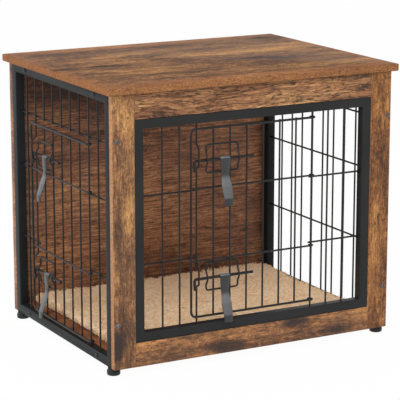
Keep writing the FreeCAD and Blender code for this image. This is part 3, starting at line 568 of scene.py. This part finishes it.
def softBoard(node, look):
    # a board with rounded edges: a rounded rectangle, whose inset follows a quarter circle at both
    # faces, carried through the board's thickness
    low, high = (np.array(corner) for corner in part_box(node))
    order = {"z": (0, 1, 2), "y": (2, 0, 1)}[look["face"]]
    centre, half = ((low + high) / 2)[list(order)], ((high - low) / 2)[list(order)]
    swing = np.linspace(0, math.pi / 2, 5)
    inset = look["edge"] * (1 - np.concatenate([np.sin(swing), np.sin(swing[::-1])]))
    level = half[2] - look["edge"] * (1 - np.cos(swing))
    level = np.concatenate([-level, level[::-1]])
    side, ray = quarterArcs(5)
    hub = side * (half[:2] - look["corner"])
    ring = hub[None] + (look["corner"] - inset)[:, None, None, None] * ray[None]
    ring = ring.reshape(len(inset), -1, 2) + centre[:2]
    points = stoodUp(ring, (level + centre[2])[:, None], order)
    piece = Pile().take(closedGrid(points)).piece(node + "_board", 40.0)
    dress(piece, films[look["film"]], slotOf.get(node, "front_board"), "crate", node)


for node, look in boards.items():
    softBoard(node, look)


frames = {
    "frontFrame": {"nodes": "front_frame_", "axis": "y", "coat": "frame", "corner": 0.0016},
    "leftFrame": {"nodes": "left_", "axis": "x", "coat": "side", "corner": 0.0016},
    "rightFrame": {"nodes": "right_", "axis": "x", "coat": "side", "corner": 0.0016},
}


def weldedFrame(name, look):
    # four tubes welded into one ring: the tube's rounded square is carried round the rectangle, and
    # at each corner it lies in the mitre, where its offset across the ring is the same both ways
    members = [node for node in nodes if node.startswith(look["nodes"])
               and node.endswith(("_post", "_rail")) and node not in boards]
    boxes = np.array([[tuple(corner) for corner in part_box(node)] for node in members])
    low, high = boxes[:, 0].min(axis=0), boxes[:, 1].max(axis=0)
    order = {"y": (2, 0, 1), "x": (1, 2, 0)}[look["axis"]]
    low, high = low[list(order)], high[list(order)]
    size = high[2] - low[2]
    radius = look["corner"]
    side, ray = quarterArcs(4)
    tube = (side * (size / 2 - radius) + radius * ray).reshape(-1, 2)[::-1]
    out, level = tube[:, 0] - size / 2, tube[:, 1] + size / 2
    middle, half = (low[:2] + high[:2]) / 2, (high[:2] - low[:2]) / 2
    ring = middle + side * (half + out[:, None])
    points = stoodUp(ring, (low[2] + level)[None], order)
    piece = Pile().take(closedGrid(points, wrapAlong=True)).piece(name, 50.0)
    dress(piece, steel[look["coat"]], "black_steel", "crate", *members)


for name, look in frames.items():
    weldedFrame(name, look)


def coat(node, material):
    # gives a CAD node its finish
    mesh = nodes[node].data
    mesh.materials.clear()
    mesh.materials.append(material)


coat("top_brackets", steel["frame"])
coat("foot_inserts", footPlastic)
print("boards and tubes: done")


# wire walls and doors are drawn in their wall's own directions: along, outward (-y) and up
wires = {
    "thin": 0.0020,  # radii
    "rim": 0.0025,
    "bolt": 0.0030,
    "depth": 0.0070,  # uprights behind the wall's face
    "overlap": 0.0150,
    "doorCorner": 0.012,
    "clearance": 0.00005,
    "wrap": 215.0,  # degrees that a door wire curls round the hinge wire
    "catchRise": 0.034,
    "catchDrop": 0.017,
    "catchSlope": 0.006,
    "catchBend": 0.0045,
    "boltGap": 0.0003,
    "crossRise": 0.0046,
    "crossDrop": 0.0055,
}
front = {
    "name": "front", "face": 0.259, "turn": 0.0, "inner": 0.2617, "low": 0.0873, "high": 0.5117,
    "pitch": 0.0395, "edge": 3.5, "outer": 2, "crosses": (0.228, 0.371), "door": (0.103, 0.500),
    "bolts": (0.184, 0.4335), "catch": "front_grille_left", "hinge": "front_grille_right",
}
left = {
    "name": "side", "face": 0.332, "turn": -90.0, "inner": 0.224, "low": 0.036, "high": 0.565,
    "pitch": 0.0448, "edge": 3.0, "outer": 1, "crosses": (0.197, 0.360, 0.479), "door": (0.045, 0.465),
    "bolts": (0.140, 0.4005), "catch": "left_grille_rear", "hinge": "left_grille_front",
}
right = dict(left, name="right", turn=90.0)


def standWall(piece, wall, body, stands, coatName="wire"):
    # turns a piece from its wall's own directions to the table's, in its mesh, and dresses it
    piece.data.transform(Matrix.Rotation(math.radians(wall["turn"]), 4, "Z"))
    dress(piece, steel[coatName], "black_steel", body, stands)


def upright(wall, step, low=None):
    x = step * wall["pitch"]
    y = wires["depth"] - wall["face"]
    return roundWire([(x, y, low or wall["low"]), (x, y, wall["high"])], wires["thin"])


def crossWire(wall, start, end, level):
    y = wires["depth"] - wall["face"] + 2 * wires["thin"]
    return roundWire([(start, y, level), (end, y, level)], wires["thin"])


def catchWire(wall):
    x = -wall["edge"] * wall["pitch"]
    flat = wires["depth"] - wall["face"]
    out = flat - 2 * (wires["bolt"] + wires["thin"] + wires["boltGap"])
    route = [(x, flat, wall["low"])]
    for level in wall["bolts"]:
        low, high = level - wires["catchDrop"], level + wires["catchRise"]
        route += [(x, flat, low), (x, out, low + wires["catchSlope"]),
                  (x, out, high - wires["catchSlope"]), (x, flat, high)]
    route.append((x, flat, wall["high"]))
    return roundWire(bent(route, wires["catchBend"]), wires["thin"])


def fixedWires(wall):
    # the wires beside a door, on the catch side and on the hinge side
    edge = wall["edge"] * wall["pitch"]
    steps = [wall["edge"] + count for count in range(1, wall["outer"] + 1)]
    caught = Pile().take(catchWire(wall))
    hinged = Pile().take(upright(wall, wall["edge"]))
    for step in steps:
        caught.take(upright(wall, -step))
        hinged.take(upright(wall, step))
    for level in wall["crosses"]:
        caught.take(crossWire(wall, -wall["inner"], -edge + 2 * wires["thin"], level))
        hinged.take(crossWire(wall, edge - 2 * wires["thin"], wall["inner"], level))
    standWall(caught.piece(wall["name"] + "CatchWires"), wall, "crate", wall["catch"])
    standWall(hinged.piece(wall["name"] + "HingeWires"), wall, "crate", wall["hinge"])


def curl(centre, level, radius, steps=22):
    # the end of a door wire: an arc about the hinge wire that starts on its outward side
    angle = np.radians(np.linspace(-90, wires["wrap"] - 90, steps))
    return np.stack([centre[0] + radius * np.cos(angle), centre[1] + radius * np.sin(angle),
                     np.full(steps, level)], -1)


def wireDoor(wall):
    hinge = (wall["edge"] * wall["pitch"], wires["depth"] - wall["face"])
    free = -hinge[0] - wires["overlap"]
    low, high = wall["door"]
    door = Pile()

    radius = wires["thin"] + wires["rim"] + wires["clearance"]
    y = hinge[1] - radius
    rim = bent([(hinge[0], y, low), (free, y, low), (free, y, high), (hinge[0], y, high)],
               wires["doorCorner"], 9)
    route = np.concatenate([curl(hinge, low, radius)[::-1], rim[1:-1], curl(hinge, high, radius)])
    door.take(roundWire(route, wires["rim"], 14))

    radius = 2 * wires["thin"] + wires["clearance"]
    start = free + wires["rim"]
    for level in (wall["crosses"][0] - wires["crossDrop"], wall["crosses"][1] + wires["crossRise"]):
        route = np.concatenate([[(start, hinge[1] - radius, level)], curl(hinge, level, radius)])
        door.take(roundWire(route, wires["thin"]))

    for step in range(1, int(2 * wall["edge"])):
        x = (step - wall["edge"]) * wall["pitch"]
        door.take(roundWire([(x, hinge[1], low - wires["rim"]), (x, hinge[1], high + wires["rim"])],
                            wires["thin"]))
    standWall(door.piece(wall["name"] + "DoorWires"), wall, wall["name"] + "_door",
              wall["name"] + "_door_grid")


def sideWalls():
    # the wires over the side door, and the whole right wall
    level = left["crosses"][2]
    edge = left["edge"] * left["pitch"] - 2 * wires["thin"]
    over = Pile().take(crossWire(left, -edge, edge, level))
    for step in range(-2, 3):
        over.take(upright(left, step, level - wires["thin"]))
    standWall(over.piece("overDoorWires"), left, "crate", "left_grille_upper")
    whole = Pile()
    for step in range(-4, 5):
        whole.take(upright(right, step))
    for level in right["crosses"]:
        whole.take(crossWire(right, -right["inner"], right["inner"], level))
    standWall(whole.piece("rightWires"), right, "crate", "right_grille")


for wall in (front, left):
    fixedWires(wall)
    wireDoor(wall)
sideWalls()
print("wires: done")


latch = {
    "guideOffset": 0.058,
    "guideWidth": 0.075,
    "guideRise": 0.032,
    "guideDrop": 0.0265,
    "guideCorner": 0.008,
    "kink": 0.015,
    "kinkBend": 0.004,
    "flankBend": 0.0028,
    "reach": 0.131,
    "hookOffset": 0.00775,
    "hookLength": 0.023,
    "hookLean": 0.0015,
    "hookBend": 0.005,
    "paddleOffset": 0.063,
    "paddleWidth": 0.023,
    "paddleLength": 0.096,
    "paddleThick": 0.0016,
    "paddleThrow": 0.015,
    "paddleRoll": 250,  # degrees that the strip is rolled round its bolt
    "paddleDip": 0.0012,
    "paddleFolds": (0.16, 0.28, 0.40, 0.86),  # shares of the length, from the bolt down
    "foldBends": (0.020, 0.020, 0.040, 0.010),
    "paddleEnd": 0.0008,  # how much narrower each side is at the very end
}


def makeGuide(wall, level, name):
    # the wire bracket: a rounded rectangle whose upright sides are kinked outward round the bolt
    flat = wires["depth"] - wall["face"] - 2 * wires["thin"]
    out = flat - 2 * (wires["bolt"] + wires["boltGap"])
    centre = latch["guideOffset"] - wall["edge"] * wall["pitch"]
    low, high = level - latch["guideDrop"], level + latch["guideRise"]
    kink, flank = latch["kink"], wires["bolt"]
    lowX, highX = centre - latch["guideWidth"] / 2, centre + latch["guideWidth"] / 2
    rise = [(flat, level - kink), (out, level - flank), (out, level + flank), (flat, level + kink)]
    route = [(centre, flat, low), (highX, flat, low)] + [(highX, y, z) for y, z in rise]
    route += [(highX, flat, high), (lowX, flat, high)] + [(lowX, y, z) for y, z in rise[::-1]]
    route += [(lowX, flat, low), (centre, flat, low)]
    bends = [latch[name] for name in ("guideCorner", "kinkBend", "flankBend")]
    closed = bent(route, (bends + bends[::-1]) * 2)[:-1]
    piece = Pile().take(roundWire(closed, wires["thin"], closed=True)).piece(name + "Wire")
    standWall(piece, wall, wall["name"] + "_door", name)


def boltAxis(wall):
    return wires["depth"] - wall["face"] - wires["thin"] - wires["bolt"] - wires["boltGap"]


def makeBolt(wall, level, name, body):
    y = boltAxis(wall)
    catch = -wall["edge"] * wall["pitch"]
    hook = catch - latch["hookOffset"]
    route = bent([(catch + latch["reach"], y, level), (hook, y, level),
                  (hook + latch["hookLean"], y, level - latch["hookLength"])], latch["hookBend"], 10)
    piece = Pile().take(roundWire(route, wires["bolt"], 18)).piece(name + "Rod")
    standWall(piece, wall, body, name)


def paddleWidth(share):
    # half widths down the paddle: full at the bolt, waisted, wide again and narrower at the end
    down = [0.0, 0.14, 0.24, 0.34, 0.46, 0.60, 0.75, 0.90, 1.0]
    wide = [1.0, 1.0, 0.88, 0.76, 0.86, 1.04, 0.98, 0.87, 0.84]
    return latch["paddleWidth"] / 2 * np.interp(share, down, wide)


def makePaddle(wall, level, name, body):
    # a strip carried down an S: it is rolled round the bolt, hangs flat, swings outward and ends flat
    thick = latch["paddleThick"]
    roll = wires["bolt"] + thick / 2
    angle = np.radians(np.linspace(latch["paddleRoll"], 0, 30))  # from behind the bolt, over it, outward
    wrap = np.stack([roll * -np.cos(angle), roll * np.sin(angle)], -1)
    length, throw = latch["paddleLength"], latch["paddleThrow"]
    downs = -length * np.array([0, *latch["paddleFolds"], 1])
    outs = -roll + np.array([0, 0, latch["paddleDip"], 0, -throw, -throw])
    folded = bent(np.stack([np.zeros(6), outs, downs], -1), latch["foldBends"], 8)[:, 1:]
    reach = np.concatenate([[0], np.cumsum(np.linalg.norm(np.diff(folded, axis=0), axis=1))])
    even = np.linspace(0, reach[-1], 60)[1:]
    hang = np.stack([np.interp(even, reach, folded[:, 0]), np.interp(even, reach, folded[:, 1])], -1)
    drop = -hang[:, 1] / length
    line = np.concatenate([wrap, hang])
    share = np.concatenate([np.zeros(len(wrap)), drop])
    along = unit(np.gradient(line, axis=0))
    across = np.stack([along[:, 1], -along[:, 0]], -1)
    half = paddleWidth(share)
    half[-1] -= latch["paddleEnd"]
    soft = 0.3 * thick
    x = np.stack([-half, -half + soft, half - soft, half, half, half - soft, -half + soft, -half], -1)
    lift = np.array([-0.2, -0.5, -0.5, -0.2, 0.2, 0.5, 0.5, 0.2]) * thick
    offset = across[:, None, :] * lift[None, :, None]
    points = np.stack([x, line[:, None, 0] + offset[..., 0], line[:, None, 1] + offset[..., 1]], -1)
    spot = (latch["paddleOffset"] - wall["edge"] * wall["pitch"], boltAxis(wall), level)
    piece = Pile().take(closedGrid(points + np.array(spot))).piece(name + "Strip", 50.0)
    standWall(piece, wall, body, name, "latch")


for wall in (front, left):
    for place, level in zip(("lower", "upper"), wall["bolts"]):
        name = wall["name"] + "_" + place
        makeGuide(wall, level, name + "_guide")
        makeBolt(wall, level, name + "_bolt", name + "_latch")
        makePaddle(wall, level, name + "_paddle", name + "_latch")
print("latches: done")


pad = {
    "halfX": 0.309,
    "halfY": 0.2333,
    "base": 0.0363,
    "thick": 0.028,
    "corner": 0.026,
    "pull": 0.005,
    "start": 0.98,  # the share of its size that the pad has before it is blown up
    "voxel": 0.0055,
    "pressure": 4.0,
    "frames": 20,
    "cap": 0.010,  # the furthest that a point may move
    "pile": 0.0026,
    "tufts": 5200,
    "rimTufts": 2600,
    "tuftLength": (0.0045, 0.0090),
    "tuftWidth": 0.0022,
    "tuftLean": 0.75,
    "tuftDroop": 0.35,
    "rimFrom": 0.945,  # the share of the way out at which the rim starts
    "crown": 0.80,  # the shell's height before it is blown up, as a share of the thickness
    "edgeSwing": 80,  # degrees up and down that the edge's curve turns
    "edgeInset": 0.045,
    "edgeRise": 0.42,
    "sink": 0.08,
    "seed": 7,
}


def lumps(x, y, cell, seed):
    # smooth noise: random heights on a square lattice, joined by an ease curve along x and y
    table = np.random.default_rng(seed).random((256, 256)) * 2 - 1
    u, v = x / cell, y / cell
    column, row = np.floor(u).astype(int), np.floor(v).astype(int)
    s, t = u - column, v - row
    s, t = s * s * (3 - 2 * s), t * t * (3 - 2 * t)
    near = table[row % 256, column % 256] * (1 - s) + table[row % 256, (column + 1) % 256] * s
    far = table[(row + 1) % 256, column % 256] * (1 - s) + table[(row + 1) % 256, (column + 1) % 256] * s
    return near * (1 - t) + far * t


def padShell():
    # rings of a rounded rectangle whose sides pull in between the corners; from the flat underside
    # each ring is set in by 1 - cos and raised by sin of its angle round the pad's edge, and the last
    # rings close over the crown
    halfX, halfY = pad["halfX"] * pad["start"], pad["halfY"] * pad["start"]
    side, ray = quarterArcs(9)
    corner = side * (np.array([halfX, halfY]) - pad["corner"]) + pad["corner"] * ray
    runs = [np.linspace(corner[k][-1], corner[(k + 1) % 4][0], 26)[1:-1] for k in range(4)]
    outline = np.concatenate([part for k in range(4) for part in (corner[k], runs[k])])
    share = outline / np.array([halfX, halfY])
    pinch = pad["pull"] * (1 - np.clip(np.abs(share), 0, 1)[:, ::-1] ** 2) * np.sign(outline)
    outline = outline - pinch * (np.abs(share) > 0.9)
    high = pad["thick"] * pad["crown"]
    swing = np.radians(np.linspace(-pad["edgeSwing"], pad["edgeSwing"], 9))
    edge = (1 - np.cos(swing)) * pad["edgeInset"]
    inset = 1 - np.concatenate([[0.60, 0.30], edge, [0.14, 0.30, 0.60, 0.85]])
    rise = 0.5 + pad["edgeRise"] * np.sin(swing)
    level = high * np.concatenate([[0, 0], rise, [0.97, 1, 1, 1]])
    level = pad["base"] + np.maximum(level - high * pad["sink"], 0.0002)
    points = stoodUp(outline[None] * inset[:, None, None], level[:, None])
    return Pile().take(closedGrid(points)).piece("plushPad", 180.0)


def applyModifiers(piece):
    # keeps what the live modifiers show as the piece's own mesh
    shown = piece.evaluated_get(bpy.context.evaluated_depsgraph_get())
    piece.data = bpy.data.meshes.new_from_object(shown)
    piece.modifiers.clear()


def meshPoints(mesh, kind="co"):
    flat = np.empty(len(mesh.vertices) * 3)
    mesh.vertices.foreach_get(kind, flat)
    return flat.reshape(-1, 3)


def blowUp(piece):
    # cloth with air in it swells; the whole swelling is scaled so that its furthest point moves by the
    # cap, and no point leaves the pad's own box
    remesh = piece.modifiers.new("even", "REMESH")
    remesh.mode = "VOXEL"
    remesh.voxel_size = pad["voxel"]
    applyModifiers(piece)
    before = meshPoints(piece.data)
    cloth = piece.modifiers.new("plushCloth", "CLOTH")
    cloth.settings.use_pressure = True
    cloth.settings.uniform_pressure_force = pad["pressure"]
    cloth.settings.effector_weights.gravity = 0.0
    cloth.settings.quality = 5
    cloth.point_cache.frame_end = pad["frames"]
    for count in range(1, pad["frames"] + 1):
        scene.frame_set(count)
    applyModifiers(piece)
    scene.frame_set(1)
    moved = meshPoints(piece.data) - before
    far = np.linalg.norm(moved, axis=1).max()
    after = before + moved * min(1, pad["cap"] / max(far, 1e-9))
    low = [-pad["halfX"], -pad["halfY"], pad["base"]]
    high = [pad["halfX"], pad["halfY"], pad["base"] + pad["thick"]]
    after = np.clip(after, low, high)
    piece.data.vertices.foreach_set("co", after.ravel())
    piece.data.update()


def raisePile(piece):
    # the pile: each point above the base is pushed out along its normal by lumps of three sizes
    finer = piece.modifiers.new("finer", "SUBSURF")
    finer.levels = finer.render_levels = 1
    applyModifiers(piece)
    points, normals = meshPoints(piece.data), meshPoints(piece.data, "normal")
    x, y = points[:, 0] + points[:, 2], points[:, 1] + 0.7 * points[:, 2]
    height = (0.5 * lumps(x, y, 0.016, pad["seed"]) + 0.6 * lumps(x, y, 0.0085, pad["seed"] + 1)
              + 0.4 * lumps(x, y, 0.0055, pad["seed"] + 2))
    free = np.clip((points[:, 2] - pad["base"] - 0.002) / 0.006, 0, 1)
    points = points + normals * (pad["pile"] * height * free)[:, None]
    points[:, 2] = np.maximum(points[:, 2], pad["base"] - 0.0002)
    piece.data.vertices.foreach_set("co", points.ravel())
    piece.data.update()
    return points, meshPoints(piece.data, "normal")


def growTufts(points, normals):
    # a tuft is a four-sided spike that narrows as the square root of what is left of its length and
    # leans over; the tufts stand on points drawn at random, rimTufts of them near the pad's rim
    dice = np.random.default_rng(pad["seed"] + 9)
    rim = np.maximum(np.abs(points[:, 0]) / pad["halfX"], np.abs(points[:, 1]) / pad["halfY"])
    up = (normals[:, 2] > -0.2) & (points[:, 2] > pad["base"] + 0.003)
    flat, edge = np.flatnonzero(up), np.flatnonzero(up & (rim > pad["rimFrom"]))
    chosen = np.concatenate([dice.choice(flat, pad["tufts"]), dice.choice(edge, pad["rimTufts"])])
    count = len(chosen)
    root, lift = points[chosen], normals[chosen]
    lean = unit(dice.normal(size=(count, 3)) * [1, 1, 0.4])
    along = unit(lift + pad["tuftLean"] * lean)
    length = dice.uniform(*pad["tuftLength"], count)[:, None, None]
    side = unit(np.cross(along, unit(np.array([0.31, 0.62, 0.72]))))
    across = np.cross(along, side)
    share = np.array([-0.25, 0.2, 0.6, 0.97])[None, :, None]
    droop = pad["tuftDroop"] * share ** 2 * (lean - lift)[:, None]
    middle = root[:, None] + length * (share * along[:, None] + droop)
    wide = pad["tuftWidth"] / 2 * np.sqrt(1 - share)
    corner = np.arange(4) * math.pi / 2
    ring = side[:, None, None] * np.cos(corner)[:, None] + across[:, None, None] * np.sin(corner)[:, None]
    points = middle[:, :, None] + wide[..., None] * ring
    points[..., 2] = np.maximum(points[..., 2], pad["base"])
    return points


def addTufts(piece, tufts):
    # joins the tufts' points and faces to the pad's own
    count, rings, corners = tufts.shape[:3]
    own = meshPoints(piece.data)
    start = len(own) + (np.arange(count) * rings * corners)[:, None, None]
    ring, corner = np.meshgrid(np.arange(rings - 1), np.arange(corners), indexing="ij")
    here, after = ring * corners + corner, ring * corners + (corner + 1) % corners
    quads = np.stack([here, after, after + corners, here + corners], -1).reshape(1, -1, 4) + start
    foot = np.array([3, 2, 1, 0])[None, None] + start
    tip = np.arange(4)[None, None] + (rings - 1) * corners + start
    faces = np.concatenate([quads.reshape(-1, 4), foot.reshape(-1, 4), tip.reshape(-1, 4)])
    kept = [tuple(face.vertices) for face in piece.data.polygons]
    mesh = bpy.data.meshes.new("plushPad")
    mesh.from_pydata(np.concatenate([own, tufts.reshape(-1, 3)]).tolist(), [], kept + faces.tolist())
    mesh.shade_smooth()
    piece.data = mesh


def plushFabric():
    # long pile: pale tips over a warmer, darker ground, parted in small clumps
    cloth = Paint("plushFabric")
    place = cloth.place()
    clump = cloth.noise(place, 4.0, 0.6, scale=120.0)
    hair = cloth.noise(place, 3.0, 0.7, scale=520.0)
    drift = cloth.noise(place, 2.0, scale=9.0)
    tone = cloth.ramp(clump * 0.55 + hair * 0.45,
                      [(0.30, rgb(186, 132, 86)), (0.40, rgb(236, 190, 142)), (0.52, rgb(252, 220, 178)),
                       (0.66, rgb(255, 240, 212))])
    tone = cloth.blend(drift.above(0.35, 0.7) * 0.3, tone, rgb(246, 210, 166))
    return cloth.finish(Base_Color=tone, Roughness=0.95, Sheen_Weight=0.35, Sheen_Roughness=0.5,
                        Specular_IOR_Level=0.1, Normal=cloth.bump(clump * 0.5 + hair * 0.5, 0.6, 0.0015))


plush = padShell()
blowUp(plush)
addTufts(plush, growTufts(*raisePile(plush)))
dress(plush, plushFabric(), "plush", "crate", "plush_pad")
print("pad: done,", len(plush.data.polygons), "faces")


screwLook = {
    "radius": 0.00475,
    "rise": 0.0024,
    "socket": 0.0016,  # from the middle to a flat
    "socketDepth": 0.0016,
    "socketFlare": 1.06,
    "socketLip": 0.0002,
    "neck": 0.0021,
    "neckDepth": 0.006,
    "cheek": 0.0005,  # the height of the head's upright edge
    "dome": 0.62,  # the share of the radius that the domed part takes
    "sides": 36,
    "postX": 0.322,
    "boardLevels": (0.110, 0.490),
    "railSpots": (-0.174, 0.174),
    "railLevels": (0.026, 0.575),
}


def screwHead(spot, outward):
    # a button head with a hexagon socket: rings of a set radius and height, and in the socket each
    # ring's radius is the flat's distance over the cosine of the angle from the flat's middle
    rise, wide, socket = screwLook["rise"], screwLook["radius"], screwLook["socket"]
    swing = np.radians([0, 20, 40, 58, 72, 84])
    neck, cheek, dome = screwLook["neck"], screwLook["cheek"], screwLook["dome"]
    radius = np.concatenate([[neck, neck, wide], wide * (np.cos(swing) * dome + 1 - dome)])
    height = np.concatenate([[-screwLook["neckDepth"], 0, 0], cheek + (rise - cheek) * np.sin(swing)])
    angle = np.linspace(0, 2 * math.pi, screwLook["sides"], endpoint=False)
    flat = 1 / np.cos((angle + math.pi / 6) % (math.pi / 3) - math.pi / 6)
    hexagon = socket * np.stack([flat * screwLook["socketFlare"], flat, flat])
    radii = np.concatenate([radius[:, None] * np.ones_like(angle), hexagon])
    heights = np.concatenate([height, [rise, rise - screwLook["socketLip"],
                                       rise - screwLook["socketDepth"]]])
    flatRing = np.stack([radii * np.cos(angle), radii * np.sin(angle),
                         np.broadcast_to(heights[:, None], radii.shape)], -1)
    turn = np.array(Vector(outward).to_track_quat("Z", "Y").to_matrix())
    return closedGrid(flatRing @ turn.T + np.array(spot))


def makeScrews():
    # each group of screws is one piece, with a head on every place where the CAD group has one
    across, postX = front["face"], screwLook["postX"]
    groups = {}
    for node, way in (("stile_screws", -1), ("back_panel_screws", 1)):
        groups[node] = ((0, way, 0), [(x, way * across, z) for x in (-postX, postX)
                                      for z in screwLook["boardLevels"]])
    for node, way in (("left_rail_screws", -1), ("right_rail_screws", 1)):
        groups[node] = ((way, 0, 0), [(way * left["face"], y, z) for y in screwLook["railSpots"]
                                      for z in screwLook["railLevels"]])
    for node, (outward, spots) in groups.items():
        pile = Pile()
        for spot in spots:
            pile.take(screwHead(spot, outward))
        piece = pile.piece(node + "_heads", 35.0)
        dress(piece, steel["railScrew" if "rail" in node else "screw"], "screw_steel", "crate", node)


footProfile = [(0.0100, 0.0), (0.0118, 0.0002), (0.0131, 0.0009), (0.0138, 0.0022), (0.0140, 0.0040),
               (0.0140, 0.0092), (0.0138, 0.0101), (0.0132, 0.0106), (0.0122, 0.0109), (0.0120, 0.0118),
               (0.0120, 0.0160)]


def makeFeet():
    for node in [name for name in nodes if name.endswith("_foot")]:
        low, high = (np.array(corner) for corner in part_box(node))
        centre = (low + high) / 2
        foot = turnedSolid(footProfile, (centre[0], centre[1], 0.0), sides=48)
        piece = Pile().take(foot).piece(node + "_glide", 40.0)
        dress(piece, footPlastic, "foot_plastic", "crate", node)


makeScrews()
makeFeet()
print("screws and feet: done")
